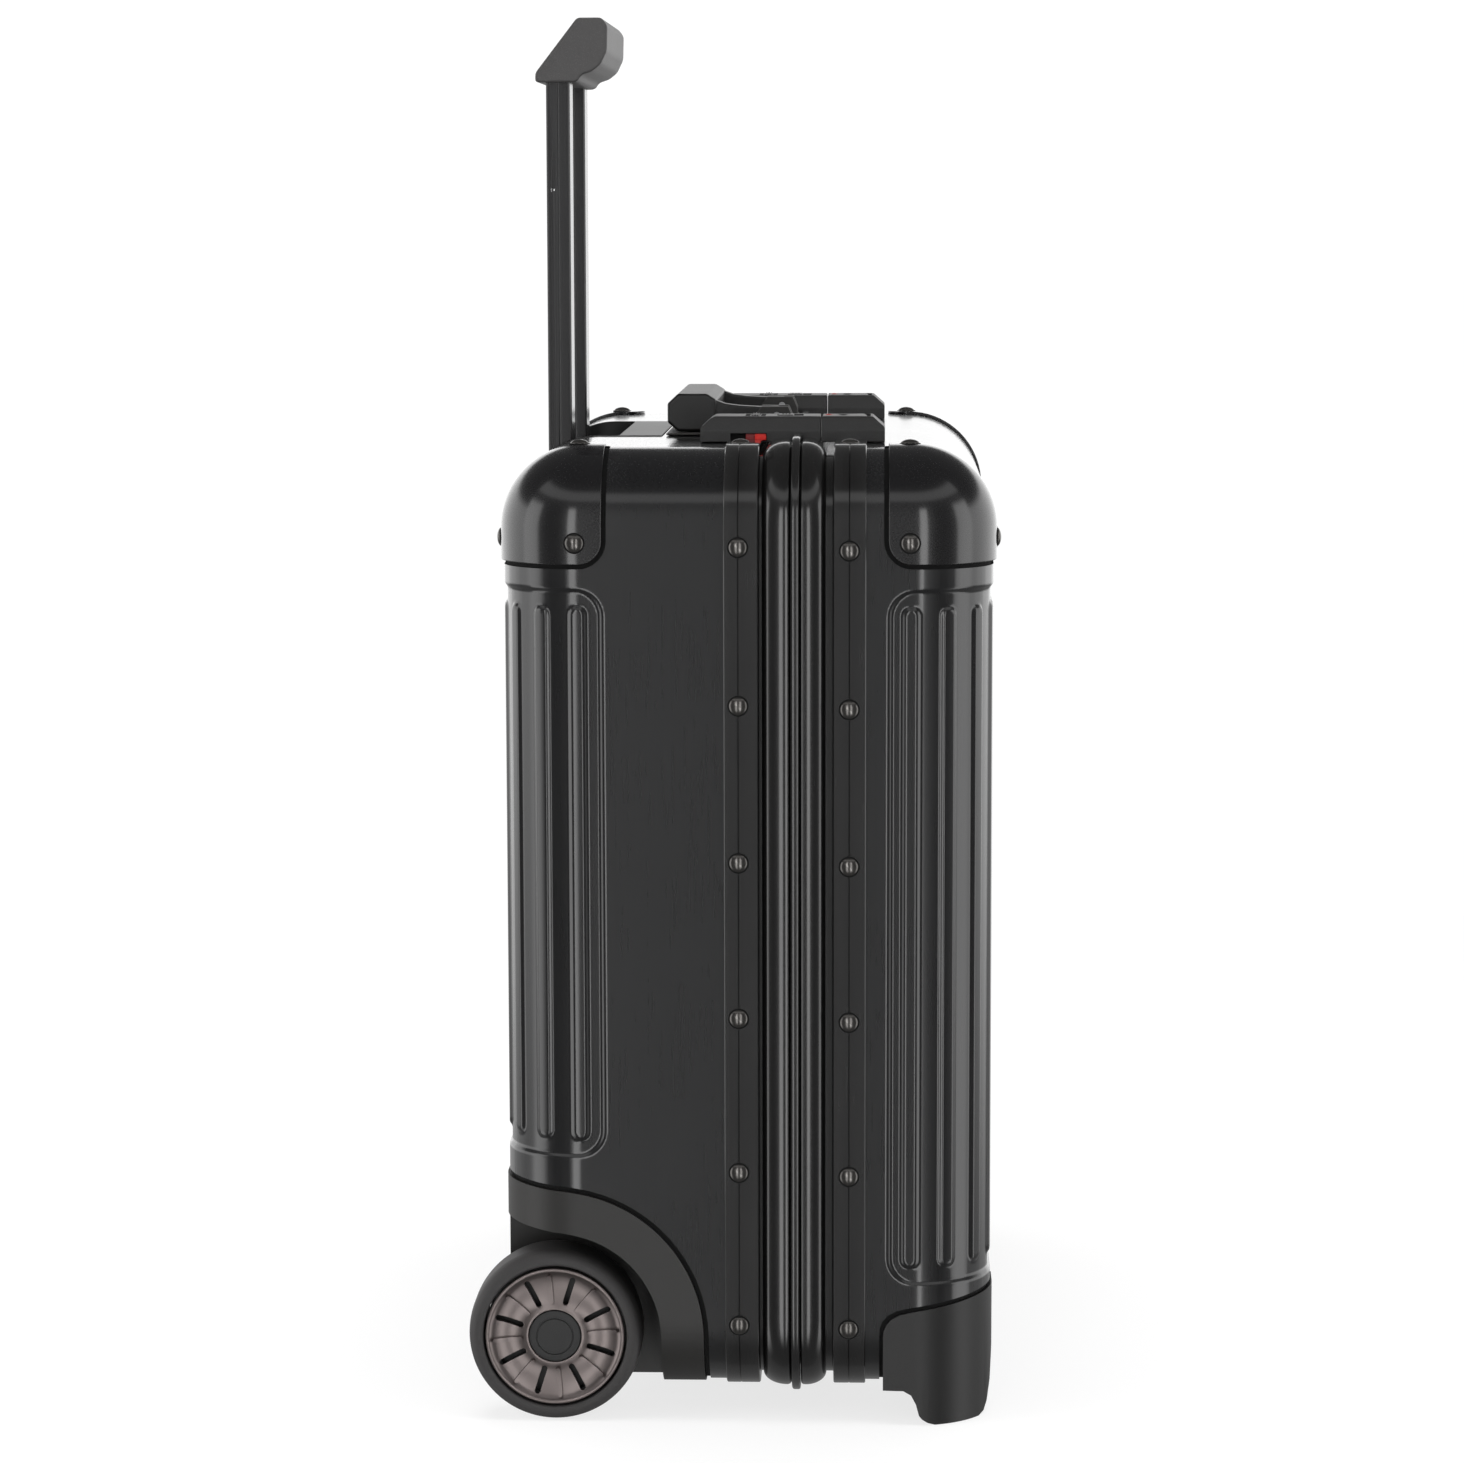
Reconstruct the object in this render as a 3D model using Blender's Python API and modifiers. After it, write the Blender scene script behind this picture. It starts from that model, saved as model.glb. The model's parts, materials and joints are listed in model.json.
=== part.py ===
"""A two-wheeled aluminium trolley case, modelled as the separate pieces it comes apart into.

Frame: metres, +Z up, origin on the floor under the middle of the case. X is the case's width, with
right at +X. The lid faces -Y, and the wheels and the pull handle are at +Y. The handle stands partly
drawn out, the case is shut, and the carry handle is folded back.
"""

import math

import bmesh
import bpy
from mathutils import Matrix, Vector

# Case: the sheet's outer faces, the radius of every outer edge, and the plane where lid meets base.
HALF_WIDTH = 0.190
CASE_TOP = 0.438
CASE_BOTTOM = 0.0124
BACK = 0.1032
FRONT = -0.1157
CORNER = 0.036
SHEET = 0.0012
PARTING = -0.0298
GAP = 0.0003
CORNER_STEPS = 5

# Frame extrusions around the opening, measured outwards from the sheet's outer face.
FLANGE = 0.0017
LIP = 0.0048
CHANNEL_DEPTH = -0.0037
FRAME_INNER = -0.0065
BASE_FLANGE_END = 0.0038
BASE_WEB = -0.0113
BASE_RIVET_Y = -0.0026
LID_FLANGE_END = -0.0590
LID_WEB = -0.0446
LID_RIVET_Y = -0.0516

# Rivets.
RIVET_RADIUS = 0.00365
RIVET_HEIGHT = 0.0020
RIVET_PITCH = 0.070
SIDE_RIVETS = 6
BASE_RIVET_TOP = 0.396
LID_RIVET_TOP = 0.3945
FIRST_RIVET_X = 0.150

# Corner caps and feet. The sheet is pressed in a little under and around each of them.
SEAT_DEPTH = 0.0003
SEAT_MARGIN = 0.0014
CAP_PROUD = 0.0015
CAP_REACH = 0.0478
CAP_LOW = 0.3882
CAP_CORNER = 0.0100
CAP_RIVET_Z = 0.3978
BACK_CAP_Y = 0.0574
BACK_CAP_RIVET_Y = 0.0693
FRONT_CAP_Y = -0.0688
FRONT_CAP_RIVET_Y = -0.0783
FOOT_PROUD = 0.0009
FOOT_BACK = -0.0670
FOOT_INNER = 0.138
BASE_RIM = -0.0095
LID_RIM = -0.0464

# Wheels.
WHEEL_RADIUS = 0.0392
WHEEL_Y = 0.120 - WHEEL_RADIUS
WHEEL_Z = WHEEL_RADIUS
TYRE_OUT = 0.1880
TYRE_IN = 0.1600
DISC_RADIUS = 0.0314
HUB_CAP_RADIUS = 0.0118
AXLE_RADIUS = 0.0040
HOUSING_INNER = 0.1450
HOUSING_RADIUS = 0.0673
WELL_RADIUS = 0.0482
HOUSING_WALL = 0.0025
HOUSING_PROUD = 0.0009

# Pull handle: two tubes in three stages, side by side, and the grip.
TUBE_Y = 0.0852
TUBE_X = 0.0490
INNER_TUBE = (0.0200, 0.0111)
MIDDLE_TUBE = (0.0234, 0.0145)
OUTER_TUBE = (0.0268, 0.0179)
TUBE_WALL = 0.0014
INNER_TUBE_Z = (0.2300, 0.6105)
MIDDLE_TUBE_Z = (0.0440, 0.3990)
OUTER_TUBE_Z = (0.0345, 0.4020)
GRIP_HALF_WIDTH = 0.062
TRAY_HALF_WIDTH = 0.0665
TRAY_Y = (0.0370, 0.1000)
TRAY_RECESS_Y = (0.0572, 0.0985)
TRAY_FLOOR = 0.4060

# Linings.
LINING_INSET = 0.0105
CLOTH = 0.0020
CLEAR = 0.0012
CHANNEL_HALF_WIDTH = 0.0670
AXLE_HEAD_X = HOUSING_INNER - 0.0075

# Locks and hasps on the top.
LOCK_X = 0.108
LOCK_HALF_WIDTH = 0.015
LOCK_TOP = 0.4500
LOCK_SEAT = CASE_TOP + 0.0001
LOCK_UNDERSIDE = CASE_TOP + 0.0004
DIAL_RADIUS = 0.0042
DIAL_Y = -0.0082
DIAL_PITCH = 0.0066
HASP_PIVOT = (-0.0570, 0.4474)

# Carry handle.
ARM_X = (0.0465, 0.0555)
CARRY_PIVOT = (-0.0165, 0.4474)

# Lid hinge, under the frames.
HINGE_PIN_Z = 0.0045
HINGE_KNUCKLE = 0.0026
HINGE_HALF_WIDTH = 0.090

parts = None
helpers = None


def clear_scene():
    """Empties the scene and makes one collection for the pieces and one for the cutters."""
    global parts, helpers
    for obj in list(bpy.data.objects):
        bpy.data.objects.remove(obj, do_unlink=True)
    parts = bpy.data.collections.new("trolley_case")
    helpers = bpy.data.collections.new("cutters")
    for collection in (parts, helpers):
        bpy.context.scene.collection.children.link(collection)


def material(name, colour, metallic, roughness):
    """A Principled material with this colour."""
    made = bpy.data.materials.new(name)
    made.use_nodes = True
    shader = made.node_tree.nodes["Principled BSDF"]
    shader.inputs["Base Color"].default_value = (*colour, 1.0)
    shader.inputs["Metallic"].default_value = metallic
    shader.inputs["Roughness"].default_value = roughness
    return made


def add_object(name, bm, finish=None):
    """Turns a bmesh into an object: a piece if it has a material, or else a hidden cutter."""
    bmesh.ops.recalc_face_normals(bm, faces=bm.faces)
    mesh = bpy.data.meshes.new(name)
    bm.to_mesh(mesh)
    bm.free()
    obj = bpy.data.objects.new(name, mesh)
    if finish is None:
        helpers.objects.link(obj)
        obj.hide_render = True
        obj.display_type = "WIRE"
    else:
        parts.objects.link(obj)
        mesh.materials.append(finish)
        mesh.shade_smooth()
        mesh.set_sharp_from_angle(angle=math.radians(35))
    return obj


def block(name, low, high, finish=None):
    """A box between two corners."""
    bm = bmesh.new()
    bmesh.ops.create_cube(bm, size=1.0)
    size = [b - a for a, b in zip(low, high)]
    middle = [(a + b) / 2 for a, b in zip(low, high)]
    bmesh.ops.scale(bm, vec=size, verts=bm.verts)
    bmesh.ops.translate(bm, vec=middle, verts=bm.verts)
    return add_object(name, bm, finish)


def prism(name, outline, axis, start, end, finish=None):
    """A flat outline pushed along an axis. The outline's points are the other two axes, in XYZ order."""
    places = {
        "X": lambda a, b: (start, a, b),
        "Y": lambda a, b: (a, start, b),
        "Z": lambda a, b: (a, b, start),
    }
    bm = bmesh.new()
    face = bm.faces.new([bm.verts.new(places[axis](a, b)) for a, b in outline])
    pushed = bmesh.ops.extrude_face_region(bm, geom=[face])
    shift = [(end - start) if letter == axis else 0.0 for letter in "XYZ"]
    moved = [v for v in pushed["geom"] if isinstance(v, bmesh.types.BMVert)]
    bmesh.ops.translate(bm, vec=shift, verts=moved)
    return add_object(name, bm, finish)


def arc(centre, radius, start, end, steps):
    """Points on an arc, from one angle to another, in degrees."""
    angles = [math.radians(start + (end - start) * i / steps) for i in range(steps + 1)]
    return [(centre[0] + radius * math.cos(a), centre[1] + radius * math.sin(a)) for a in angles]


def turned(name, profile, place, steps, finish=None, closed=True):
    """A piece turned about the X direction. The profile holds (radius, distance along X) points."""
    area = sum(a[0] * b[1] - b[0] * a[1] for a, b in zip(profile, profile[1:] + profile[:1]))
    if area > 0:
        profile = profile[::-1]
    bm = bmesh.new()
    verts = [bm.verts.new((radius, 0.0, along)) for radius, along in profile]
    for a, b in zip(verts, verts[1:]):
        bm.edges.new((a, b))
    if closed:
        bm.edges.new((verts[-1], verts[0]))
    mesh = bpy.data.meshes.new(name)
    bm.to_mesh(mesh)
    bm.free()
    obj = bpy.data.objects.new(name, mesh)
    screw = obj.modifiers.new("turn", "SCREW")
    screw.steps = steps
    screw.render_steps = steps
    screw.use_merge_vertices = True
    screw.merge_threshold = 1e-6
    screw.use_smooth_shade = True
    obj.rotation_euler = (0.0, math.pi / 2, 0.0)
    obj.location = place
    if finish is None:
        helpers.objects.link(obj)
        obj.hide_render = True
        obj.display_type = "WIRE"
    else:
        parts.objects.link(obj)
        mesh.materials.append(finish)
    return obj


def carve(obj, other, operation="DIFFERENCE"):
    """Cuts, joins or intersects a piece with a hidden helper."""
    modifier = obj.modifiers.new(other.name, "BOOLEAN")
    modifier.operation = operation
    modifier.solver = "EXACT"
    modifier.object = other
    return obj


def baked(obj):
    """The piece's mesh with its modifiers applied, in world space."""
    bpy.context.view_layer.update()
    graph = bpy.context.evaluated_depsgraph_get()
    mesh = bpy.data.meshes.new_from_object(obj.evaluated_get(graph))
    mesh.transform(obj.matrix_world)
    return mesh


def mirrored(obj, name):
    """The same piece on the case's other side."""
    mesh = baked(obj)
    mesh.transform(Matrix.Scale(-1.0, 4, (1.0, 0.0, 0.0)))
    mesh.flip_normals()
    mesh.name = name
    copy = bpy.data.objects.new(name, mesh)
    parts.objects.link(copy)
    return copy


def both_sides(obj, stem):
    """Names a right-hand piece and adds its left-hand copy."""
    obj.name = f"{stem}_right"
    return obj, mirrored(obj, f"{stem}_left")


def on_pivot(obj, pivot):
    """Puts a moving piece's origin on its joint's axis, with the piece where it was."""
    obj.data = baked(obj)
    obj.modifiers.clear()
    obj.rotation_euler = (0.0, 0.0, 0.0)
    obj.data.transform(Matrix.Translation(pivot).inverted())
    obj.location = pivot


def sweep_round_case(bm, profile, closed):
    """Carries a section of (y, distance outwards) points around the case's rounded outline."""
    low = CASE_BOTTOM + CORNER
    high = CASE_TOP - CORNER
    side = HALF_WIDTH - CORNER
    verts = [bm.verts.new((HALF_WIDTH + out, y, low)) for y, out in profile]
    edges = [bm.edges.new(pair) for pair in zip(verts, verts[1:])]
    if closed:
        edges.append(bm.edges.new((verts[-1], verts[0])))
    straights = ((0.0, 0.0, high - low), (-2 * side, 0.0, 0.0), (0.0, 0.0, low - high), (2 * side, 0.0, 0.0))
    centres = ((side, 0.0, high), (-side, 0.0, high), (-side, 0.0, low), (side, 0.0, low))
    for shift, centre in zip(straights, centres):
        pushed = bmesh.ops.extrude_edge_only(bm, edges=edges)["geom"]
        moved = [v for v in pushed if isinstance(v, bmesh.types.BMVert)]
        bmesh.ops.translate(bm, vec=shift, verts=moved)
        edges = [e for e in pushed if isinstance(e, bmesh.types.BMEdge)]
        swung = bmesh.ops.spin(
            bm,
            geom=edges,
            cent=centre,
            axis=(0.0, -1.0, 0.0),
            angle=math.pi / 2,
            steps=CORNER_STEPS,
        )["geom_last"]
        edges = [e for e in swung if isinstance(e, bmesh.types.BMEdge)]
    bmesh.ops.remove_doubles(bm, verts=bm.verts, dist=1e-6)
    bmesh.ops.dissolve_degenerate(bm, edges=bm.edges, dist=1e-7)


def case_ring(name, profile, finish=None):
    """A ring with this closed section, around the case."""
    bm = bmesh.new()
    sweep_round_case(bm, profile, closed=True)
    return add_object(name, bm, finish)


def half_case(name, rim, end, offset, solid, finish=None):
    """One half of the case, from its rim to its closed end, as an open surface or as a solid."""
    way = 1.0 if end > rim else -1.0
    radius = CORNER + offset
    rounding = arc((0.0, 0.0), radius, 0, 90, CORNER_STEPS)
    profile = [(rim, offset)]
    profile += [(end - way * CORNER + way * y, out - CORNER) for out, y in rounding]
    bm = bmesh.new()
    sweep_round_case(bm, profile, closed=False)
    rims = [e for e in bm.edges if e.is_boundary]
    flat_end = [e for e in rims if all(abs(v.co.y - end) < abs(offset) + 1e-4 for v in e.verts)]
    bmesh.ops.contextual_create(bm, geom=flat_end)
    if solid:
        bmesh.ops.contextual_create(bm, geom=[e for e in bm.edges if e.is_boundary])
    return add_object(name, bm, finish)


def half_shell(name, rim, end, finish):
    """Half of the case as a sheet of the real thickness."""
    shell = half_case(name, rim, end, 0.0, solid=False, finish=finish)
    if shell.data.polygons[0].normal.x < 0:
        shell.data.flip_normals()
    sheet = shell.modifiers.new("sheet", "SOLIDIFY")
    sheet.thickness = SHEET
    sheet.offset = -1.0
    sheet.use_even_offset = True
    return shell


def dome(name, radius, height, place, facing, sides=8):
    """A rivet head: a low cone frustum with its flat side at the place, standing out along facing."""
    bm = bmesh.new()
    bmesh.ops.create_cone(
        bm,
        cap_ends=True,
        segments=sides,
        radius1=radius,
        radius2=radius * 0.55,
        depth=height,
    )
    bmesh.ops.translate(bm, vec=(0.0, 0.0, height / 2), verts=bm.verts)
    turn = Vector(facing).to_track_quat("Z", "Y").to_matrix().to_4x4()
    bmesh.ops.transform(bm, matrix=Matrix.Translation(place) @ turn, verts=bm.verts)
    return add_object(name, bm)


def make_materials():
    """Every finish, by name."""
    return {
        "shell": material("shell", (0.018, 0.018, 0.020), 0.85, 0.36),
        "frame": material("frame", (0.014, 0.014, 0.015), 0.90, 0.30),
        "rivet": material("rivet", (0.060, 0.055, 0.050), 1.00, 0.22),
        "cap": material("cap", (0.012, 0.012, 0.013), 0.60, 0.32),
        "plastic": material("plastic", (0.040, 0.039, 0.036), 0.0, 0.55),
        "lock": material("lock", (0.030, 0.030, 0.031), 0.0, 0.42),
        "indicator": material("indicator", (0.60, 0.02, 0.015), 0.0, 0.35),
        "rubber": material("rubber", (0.050, 0.050, 0.052), 0.0, 0.70),
        "disc": material("disc", (0.200, 0.175, 0.165), 0.95, 0.34),
        "tube": material("tube", (0.016, 0.016, 0.017), 0.90, 0.28),
        "steel": material("steel", (0.55, 0.55, 0.56), 1.0, 0.30),
        "lining": material("lining", (0.055, 0.057, 0.062), 0.0, 0.90),
    }


def base_frame_section():
    """The base extrusion: a slotted flange on the sheet, a channel, a hollow bulge and the lip."""
    return [
        (BASE_FLANGE_END, GAP),
        (BASE_FLANGE_END, FLANGE),
        (BASE_RIVET_Y + 0.0009, FLANGE),
        (BASE_RIVET_Y, FLANGE - 0.0007),
        (BASE_RIVET_Y - 0.0009, FLANGE),
        (BASE_WEB, FLANGE),
        (BASE_WEB, CHANNEL_DEPTH),
        (BASE_WEB - 0.0013, CHANNEL_DEPTH),
        (-0.0134, -0.0003),
        (-0.0154, 0.0015),
        (-0.0188, 0.0025),
        (-0.0228, 0.0026),
        (-0.0258, 0.0018),
        (-0.0258, LIP),
        (PARTING + 0.0002, LIP),
        (PARTING + 0.0002, FRAME_INNER),
        (-0.0280, FRAME_INNER),
        (-0.0280, 0.0002),
        (-0.0190, 0.0008),
        (-0.0160, -0.0005),
        (-0.0144, -0.0053),
        (-0.0098, -0.0053),
        (-0.0098, -0.0027),
        (BASE_FLANGE_END, -0.0027),
        (BASE_FLANGE_END, -SHEET - GAP),
        (-0.0098, -SHEET - GAP),
        (-0.0098, GAP),
    ]


def lid_frame_section():
    """The lid extrusion: the same flange and channel, and a quarter-round that meets the base's lip."""
    return [
        (LID_FLANGE_END, GAP),
        (LID_FLANGE_END, FLANGE),
        (LID_RIVET_Y - 0.0009, FLANGE),
        (LID_RIVET_Y, FLANGE - 0.0007),
        (LID_RIVET_Y + 0.0009, FLANGE),
        (LID_WEB, FLANGE),
        (LID_WEB, CHANNEL_DEPTH),
        (LID_WEB + 0.0029, CHANNEL_DEPTH),
        (-0.0409, -0.0008),
        (-0.0390, 0.0010),
        (-0.0352, 0.0023),
        (PARTING - 0.0002, 0.0028),
        (PARTING - 0.0002, FRAME_INNER),
        (-0.0316, FRAME_INNER),
        (-0.0316, 0.0010),
        (-0.0356, 0.0006),
        (-0.0388, -0.0010),
        (-0.0398, -0.0053),
        (-0.0461, -0.0053),
        (-0.0461, -0.0027),
        (LID_FLANGE_END, -0.0027),
        (LID_FLANGE_END, -SHEET - GAP),
        (-0.0461, -SHEET - GAP),
        (-0.0461, GAP),
    ]


def rivet_strip(name, y, top_z, finish):
    """One frame's rivet heads, joined by the thin strip that lies in the flange's groove.

    The strip is left out between the locks, where the frame is notched.
    """
    bottom = FLANGE + GAP
    strip = [
        (y - 0.0004, FLANGE + 0.0001),
        (y - 0.0004, bottom + 0.0004),
        (y + 0.0004, bottom + 0.0004),
        (y + 0.0004, FLANGE + 0.0001),
        (y, FLANGE - 0.0002),
    ]
    piece = case_ring(name, strip, finish)
    outer = LOCK_X + LOCK_HALF_WIDTH + 2 * GAP
    carve(piece, block(f"{name}_break", (-outer, -0.1, CASE_TOP), (outer, 0.1, CASE_TOP + 0.01)))
    seats = []
    round_low = CASE_BOTTOM + CORNER
    first_facet = math.pi / 4 / CORNER_STEPS
    for side in (1, -1):
        for i in range(SIDE_RIVETS):
            z = top_z - i * RIVET_PITCH
            lean = first_facet if z < round_low else 0.0
            x = HALF_WIDTH + bottom - (round_low - z) * math.tan(lean)
            seats.append(((side * x, y, z), (side * math.cos(lean), 0.0, -math.sin(lean))))
    for x in (-FIRST_RIVET_X, FIRST_RIVET_X):
        seats.append(((x, y, CASE_TOP + bottom), (0.0, 0.0, 1.0)))
        seats.append(((x, y, CASE_BOTTOM - bottom), (0.0, 0.0, -1.0)))
    for place, facing in seats:
        carve(piece, dome(f"{name}_head", RIVET_RADIUS, RIVET_HEIGHT, place, facing), "UNION")
    return piece


def corner_cap(stem, rim, end, inner_y, rivet_y, finish):
    """A drawn cap over one top corner of a half, with its three rivet heads."""
    way = 1.0 if end > rim else -1.0
    low = (HALF_WIDTH - CAP_REACH, min(inner_y, end + way * 0.01), CAP_LOW)
    high = (HALF_WIDTH + 0.01, max(inner_y, end + way * 0.01), CASE_TOP + 0.01)
    cap = block(stem, low, high, finish)
    bm = bmesh.new()
    bm.from_mesh(cap.data)
    bm.edges.ensure_lookup_table()
    corner = (low[0], inner_y, low[2])
    meeting = [
        e
        for e in bm.edges
        if any(all(abs(c - k) < 1e-6 for c, k in zip(v.co, corner)) for v in e.verts)
    ]
    bmesh.ops.bevel(bm, geom=meeting, offset=CAP_CORNER, segments=3, profile=0.5, affect="EDGES")
    bm.to_mesh(cap.data)
    bm.free()
    carve(cap, half_case(f"{stem}_outside", rim, end, CAP_PROUD, solid=True), "INTERSECT")
    carve(cap, half_case(f"{stem}_inside", rim, end, GAP, solid=True))
    sunk = 0.0004
    middle_x = HALF_WIDTH - 0.037
    heads = (
        ((HALF_WIDTH + CAP_PROUD - sunk, rivet_y, CAP_RIVET_Z), (1.0, 0.0, 0.0)),
        ((middle_x, rivet_y, CASE_TOP + CAP_PROUD - sunk), (0.0, 0.0, 1.0)),
        ((middle_x, end + way * (CAP_PROUD - sunk), CAP_RIVET_Z), (0.0, way, 0.0)),
    )
    for place, facing in heads:
        height = RIVET_HEIGHT + sunk + 0.0008
        carve(cap, dome(f"{stem}_head", RIVET_RADIUS, height, place, facing), "UNION")
    return both_sides(cap, stem)


def wheel_arch(radius, rise, floor):
    """The side outline of the wheel arch: a round over the wheel that runs out level to the back."""
    start_z = WHEEL_Z + radius * math.sin(math.radians(90))
    outline = [(WHEEL_Y - radius, floor)]
    outline += arc((WHEEL_Y, WHEEL_Z), radius, 180, 90, 8)
    outline += [(BACK + 0.02, start_z + rise), (BACK + 0.02, floor)]
    return outline


def wheel_housing(finish):
    """The moulded wheel housing, let into the case's lower back corner, with the well for the wheel."""
    housing = prism("wheel_housing", wheel_arch(HOUSING_RADIUS, 0.0030, CASE_BOTTOM - 0.005), "X",
                    HOUSING_INNER, HALF_WIDTH + 0.01, finish)
    carve(housing, half_case("housing_outside", 0.0, BACK, HOUSING_PROUD, solid=True), "INTERSECT")
    well = prism("housing_well", wheel_arch(WELL_RADIUS, 0.0040, CASE_BOTTOM - 0.02), "X",
                 HOUSING_INNER + HOUSING_WALL, HALF_WIDTH + 0.02)
    carve(housing, well)
    hollow = prism("housing_hollow", wheel_arch(HOUSING_RADIUS - HOUSING_WALL, 0.0030, CASE_BOTTOM + HOUSING_WALL),
                   "X", HOUSING_INNER - 0.01, HALF_WIDTH + 0.01)
    carve(hollow, half_case("hollow_outside", 0.0, BACK, HOUSING_PROUD - HOUSING_WALL, solid=True), "INTERSECT")
    well_wall = prism("well_wall", wheel_arch(WELL_RADIUS + HOUSING_WALL, 0.0040, CASE_BOTTOM - 0.02), "X",
                      HOUSING_INNER - 0.02, HALF_WIDTH + 0.02)
    carve(housing, carve(hollow, well_wall))
    bore = turned("axle_bore", [(AXLE_RADIUS + GAP, -0.02), (AXLE_RADIUS + GAP, 0.02), (0.0, 0.02),
                                (0.0, -0.02)], (HOUSING_INNER, WHEEL_Y, WHEEL_Z), 16, closed=False)
    carve(housing, bore)
    return both_sides(housing, "wheel_housing")


def seat(shell, name, rim, end, pressed):
    """Presses the sheet in where this helper stands over it."""
    carve(pressed, half_case(name, rim, end, -SEAT_DEPTH, solid=True))
    carve(shell, pressed)


def cap_seats(shell, end, inner_y):
    """The pressed seats of one half's two corner caps."""
    way = 1.0 if end > inner_y else -1.0
    near = inner_y - way * SEAT_MARGIN
    far = end + way * 0.01
    for side in (1, -1):
        inner_x = side * (HALF_WIDTH - CAP_REACH - SEAT_MARGIN)
        outer_x = side * (HALF_WIDTH + 0.01)
        low = (min(inner_x, outer_x), min(near, far), CAP_LOW - SEAT_MARGIN)
        high = (max(inner_x, outer_x), max(near, far), CASE_TOP + 0.01)
        seat(shell, "cap_seat", 0.0, end, block("cap_seat_region", low, high))


def foot_seats(shell):
    """The pressed seats of the lid's two feet."""
    outline = [(y + SEAT_MARGIN, z + SEAT_MARGIN) for y, z in foot_outline()[1:6]]
    outline += [(outline[-1][0], -0.01), (outline[0][0], -0.01)]
    for side in (1, -1):
        start = side * (FOOT_INNER - SEAT_MARGIN)
        pressed = prism("foot_seat_region", outline, "X", start, side * (HALF_WIDTH + 0.01))
        seat(shell, "foot_seat", 0.0, FRONT, pressed)


def main_shells(finish):
    """The two drawn sheet halves, with the openings for the wheels and the handle tray."""
    base = half_shell("base_shell", BASE_RIM, BACK, finish)
    cap_seats(base, BACK, BACK_CAP_Y)
    for side in (1, -1):
        outline = wheel_arch(HOUSING_RADIUS + GAP, 0.0030, CASE_BOTTOM - 0.02)
        inner = side * (HOUSING_INNER - GAP)
        carve(base, prism("wheel_opening", outline, "X", inner, side * (HALF_WIDTH + 0.02)))
    low = (-TRAY_HALF_WIDTH - GAP, TRAY_Y[0] - GAP, TRAY_FLOOR - 0.003)
    high = (TRAY_HALF_WIDTH + GAP, TRAY_Y[1] + GAP, CASE_TOP + 0.01)
    carve(base, block("tray_opening", low, high))
    lid = half_shell("lid_shell", LID_RIM, FRONT, finish)
    cap_seats(lid, FRONT, FRONT_CAP_Y)
    foot_seats(lid)


def frames(finish, rubber):
    """The two frame extrusions and the seal behind the lip."""
    base = case_ring("base_frame", base_frame_section(), finish)
    lid = case_ring("lid_frame", lid_frame_section(), finish)
    for side in (1, -1):
        start = side * LOCK_X - LOCK_HALF_WIDTH - GAP
        end = side * LOCK_X + LOCK_HALF_WIDTH + GAP
        carve(base, block("base_lock_notch", (start, -0.04, LOCK_SEAT), (end, 0.01, CASE_TOP + 0.01)))
        carve(lid, block("lid_hasp_notch", (start, -0.07, LOCK_SEAT), (end, -0.02, CASE_TOP + 0.01)))
    outer = FRAME_INNER - GAP
    seal = [(-0.0264, outer), (-0.0296, outer), (-0.0296, outer - 0.0030), (-0.0264, outer - 0.0030)]
    case_ring("frame_gasket", seal, rubber)


def handle_tray(finish):
    """The moulded tray that the grip sinks into, with the two tube holes in its floor."""
    low = (-TRAY_HALF_WIDTH, TRAY_Y[0], TRAY_FLOOR - 0.002)
    high = (TRAY_HALF_WIDTH, TRAY_Y[1], CASE_TOP + 0.01)
    tray = block("handle_bezel", low, high, finish)
    carve(tray, half_case("tray_outside", 0.0, BACK, 0.0004, solid=True), "INTERSECT")
    wall = 0.0015
    recess_low = (-TRAY_HALF_WIDTH + wall, TRAY_RECESS_Y[0], TRAY_FLOOR)
    recess_high = (TRAY_HALF_WIDTH - wall, TRAY_RECESS_Y[1], CASE_TOP + 0.02)
    carve(tray, block("tray_recess", recess_low, recess_high))
    under_low = (-TRAY_HALF_WIDTH + wall, TRAY_Y[0] + wall, TRAY_FLOOR - 0.01)
    under_high = (TRAY_HALF_WIDTH - wall, TRAY_RECESS_Y[0] - wall, CASE_TOP - 0.002)
    carve(tray, block("tray_underside", under_low, under_high))
    for side in (1, -1):
        carve(tray, tube_block(f"tray_hole_{side}", side * TUBE_X, MIDDLE_TUBE, 2 * GAP,
                               (TRAY_FLOOR - 0.01, TRAY_FLOOR + 0.01)))
    return tray


def tube_block(name, x, section, extra, span, finish=None):
    """A length of one tube's outline, grown by a little on every side."""
    half_x = section[0] / 2 + extra
    half_y = section[1] / 2 + extra
    return block(name, (x - half_x, TUBE_Y - half_y, span[0]), (x + half_x, TUBE_Y + half_y, span[1]), finish)


def tube(stem, section, span, hollow, finish):
    """One stage of the pull handle: a tube on each side."""
    piece = tube_block(stem, TUBE_X, section, 0.0, span, finish)
    if hollow:
        bore = tube_block(f"{stem}_bore", TUBE_X, section, -TUBE_WALL, (span[0] - 0.01, span[1] + 0.01))
        carve(piece, bore)
    return both_sides(piece, stem)


def grip_outline():
    """The grip's end: a slanted block with its nose at the back."""
    return [
        (0.0955, 0.6019),
        (0.0955, 0.6062),
        (0.0759, 0.6315),
        (0.0645, 0.6315),
        (0.0617, 0.6278),
        (0.0620, 0.6163),
        (0.0678, 0.6072),
        (0.0739, 0.6050),
        (0.0755, 0.6025),
    ]


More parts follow.
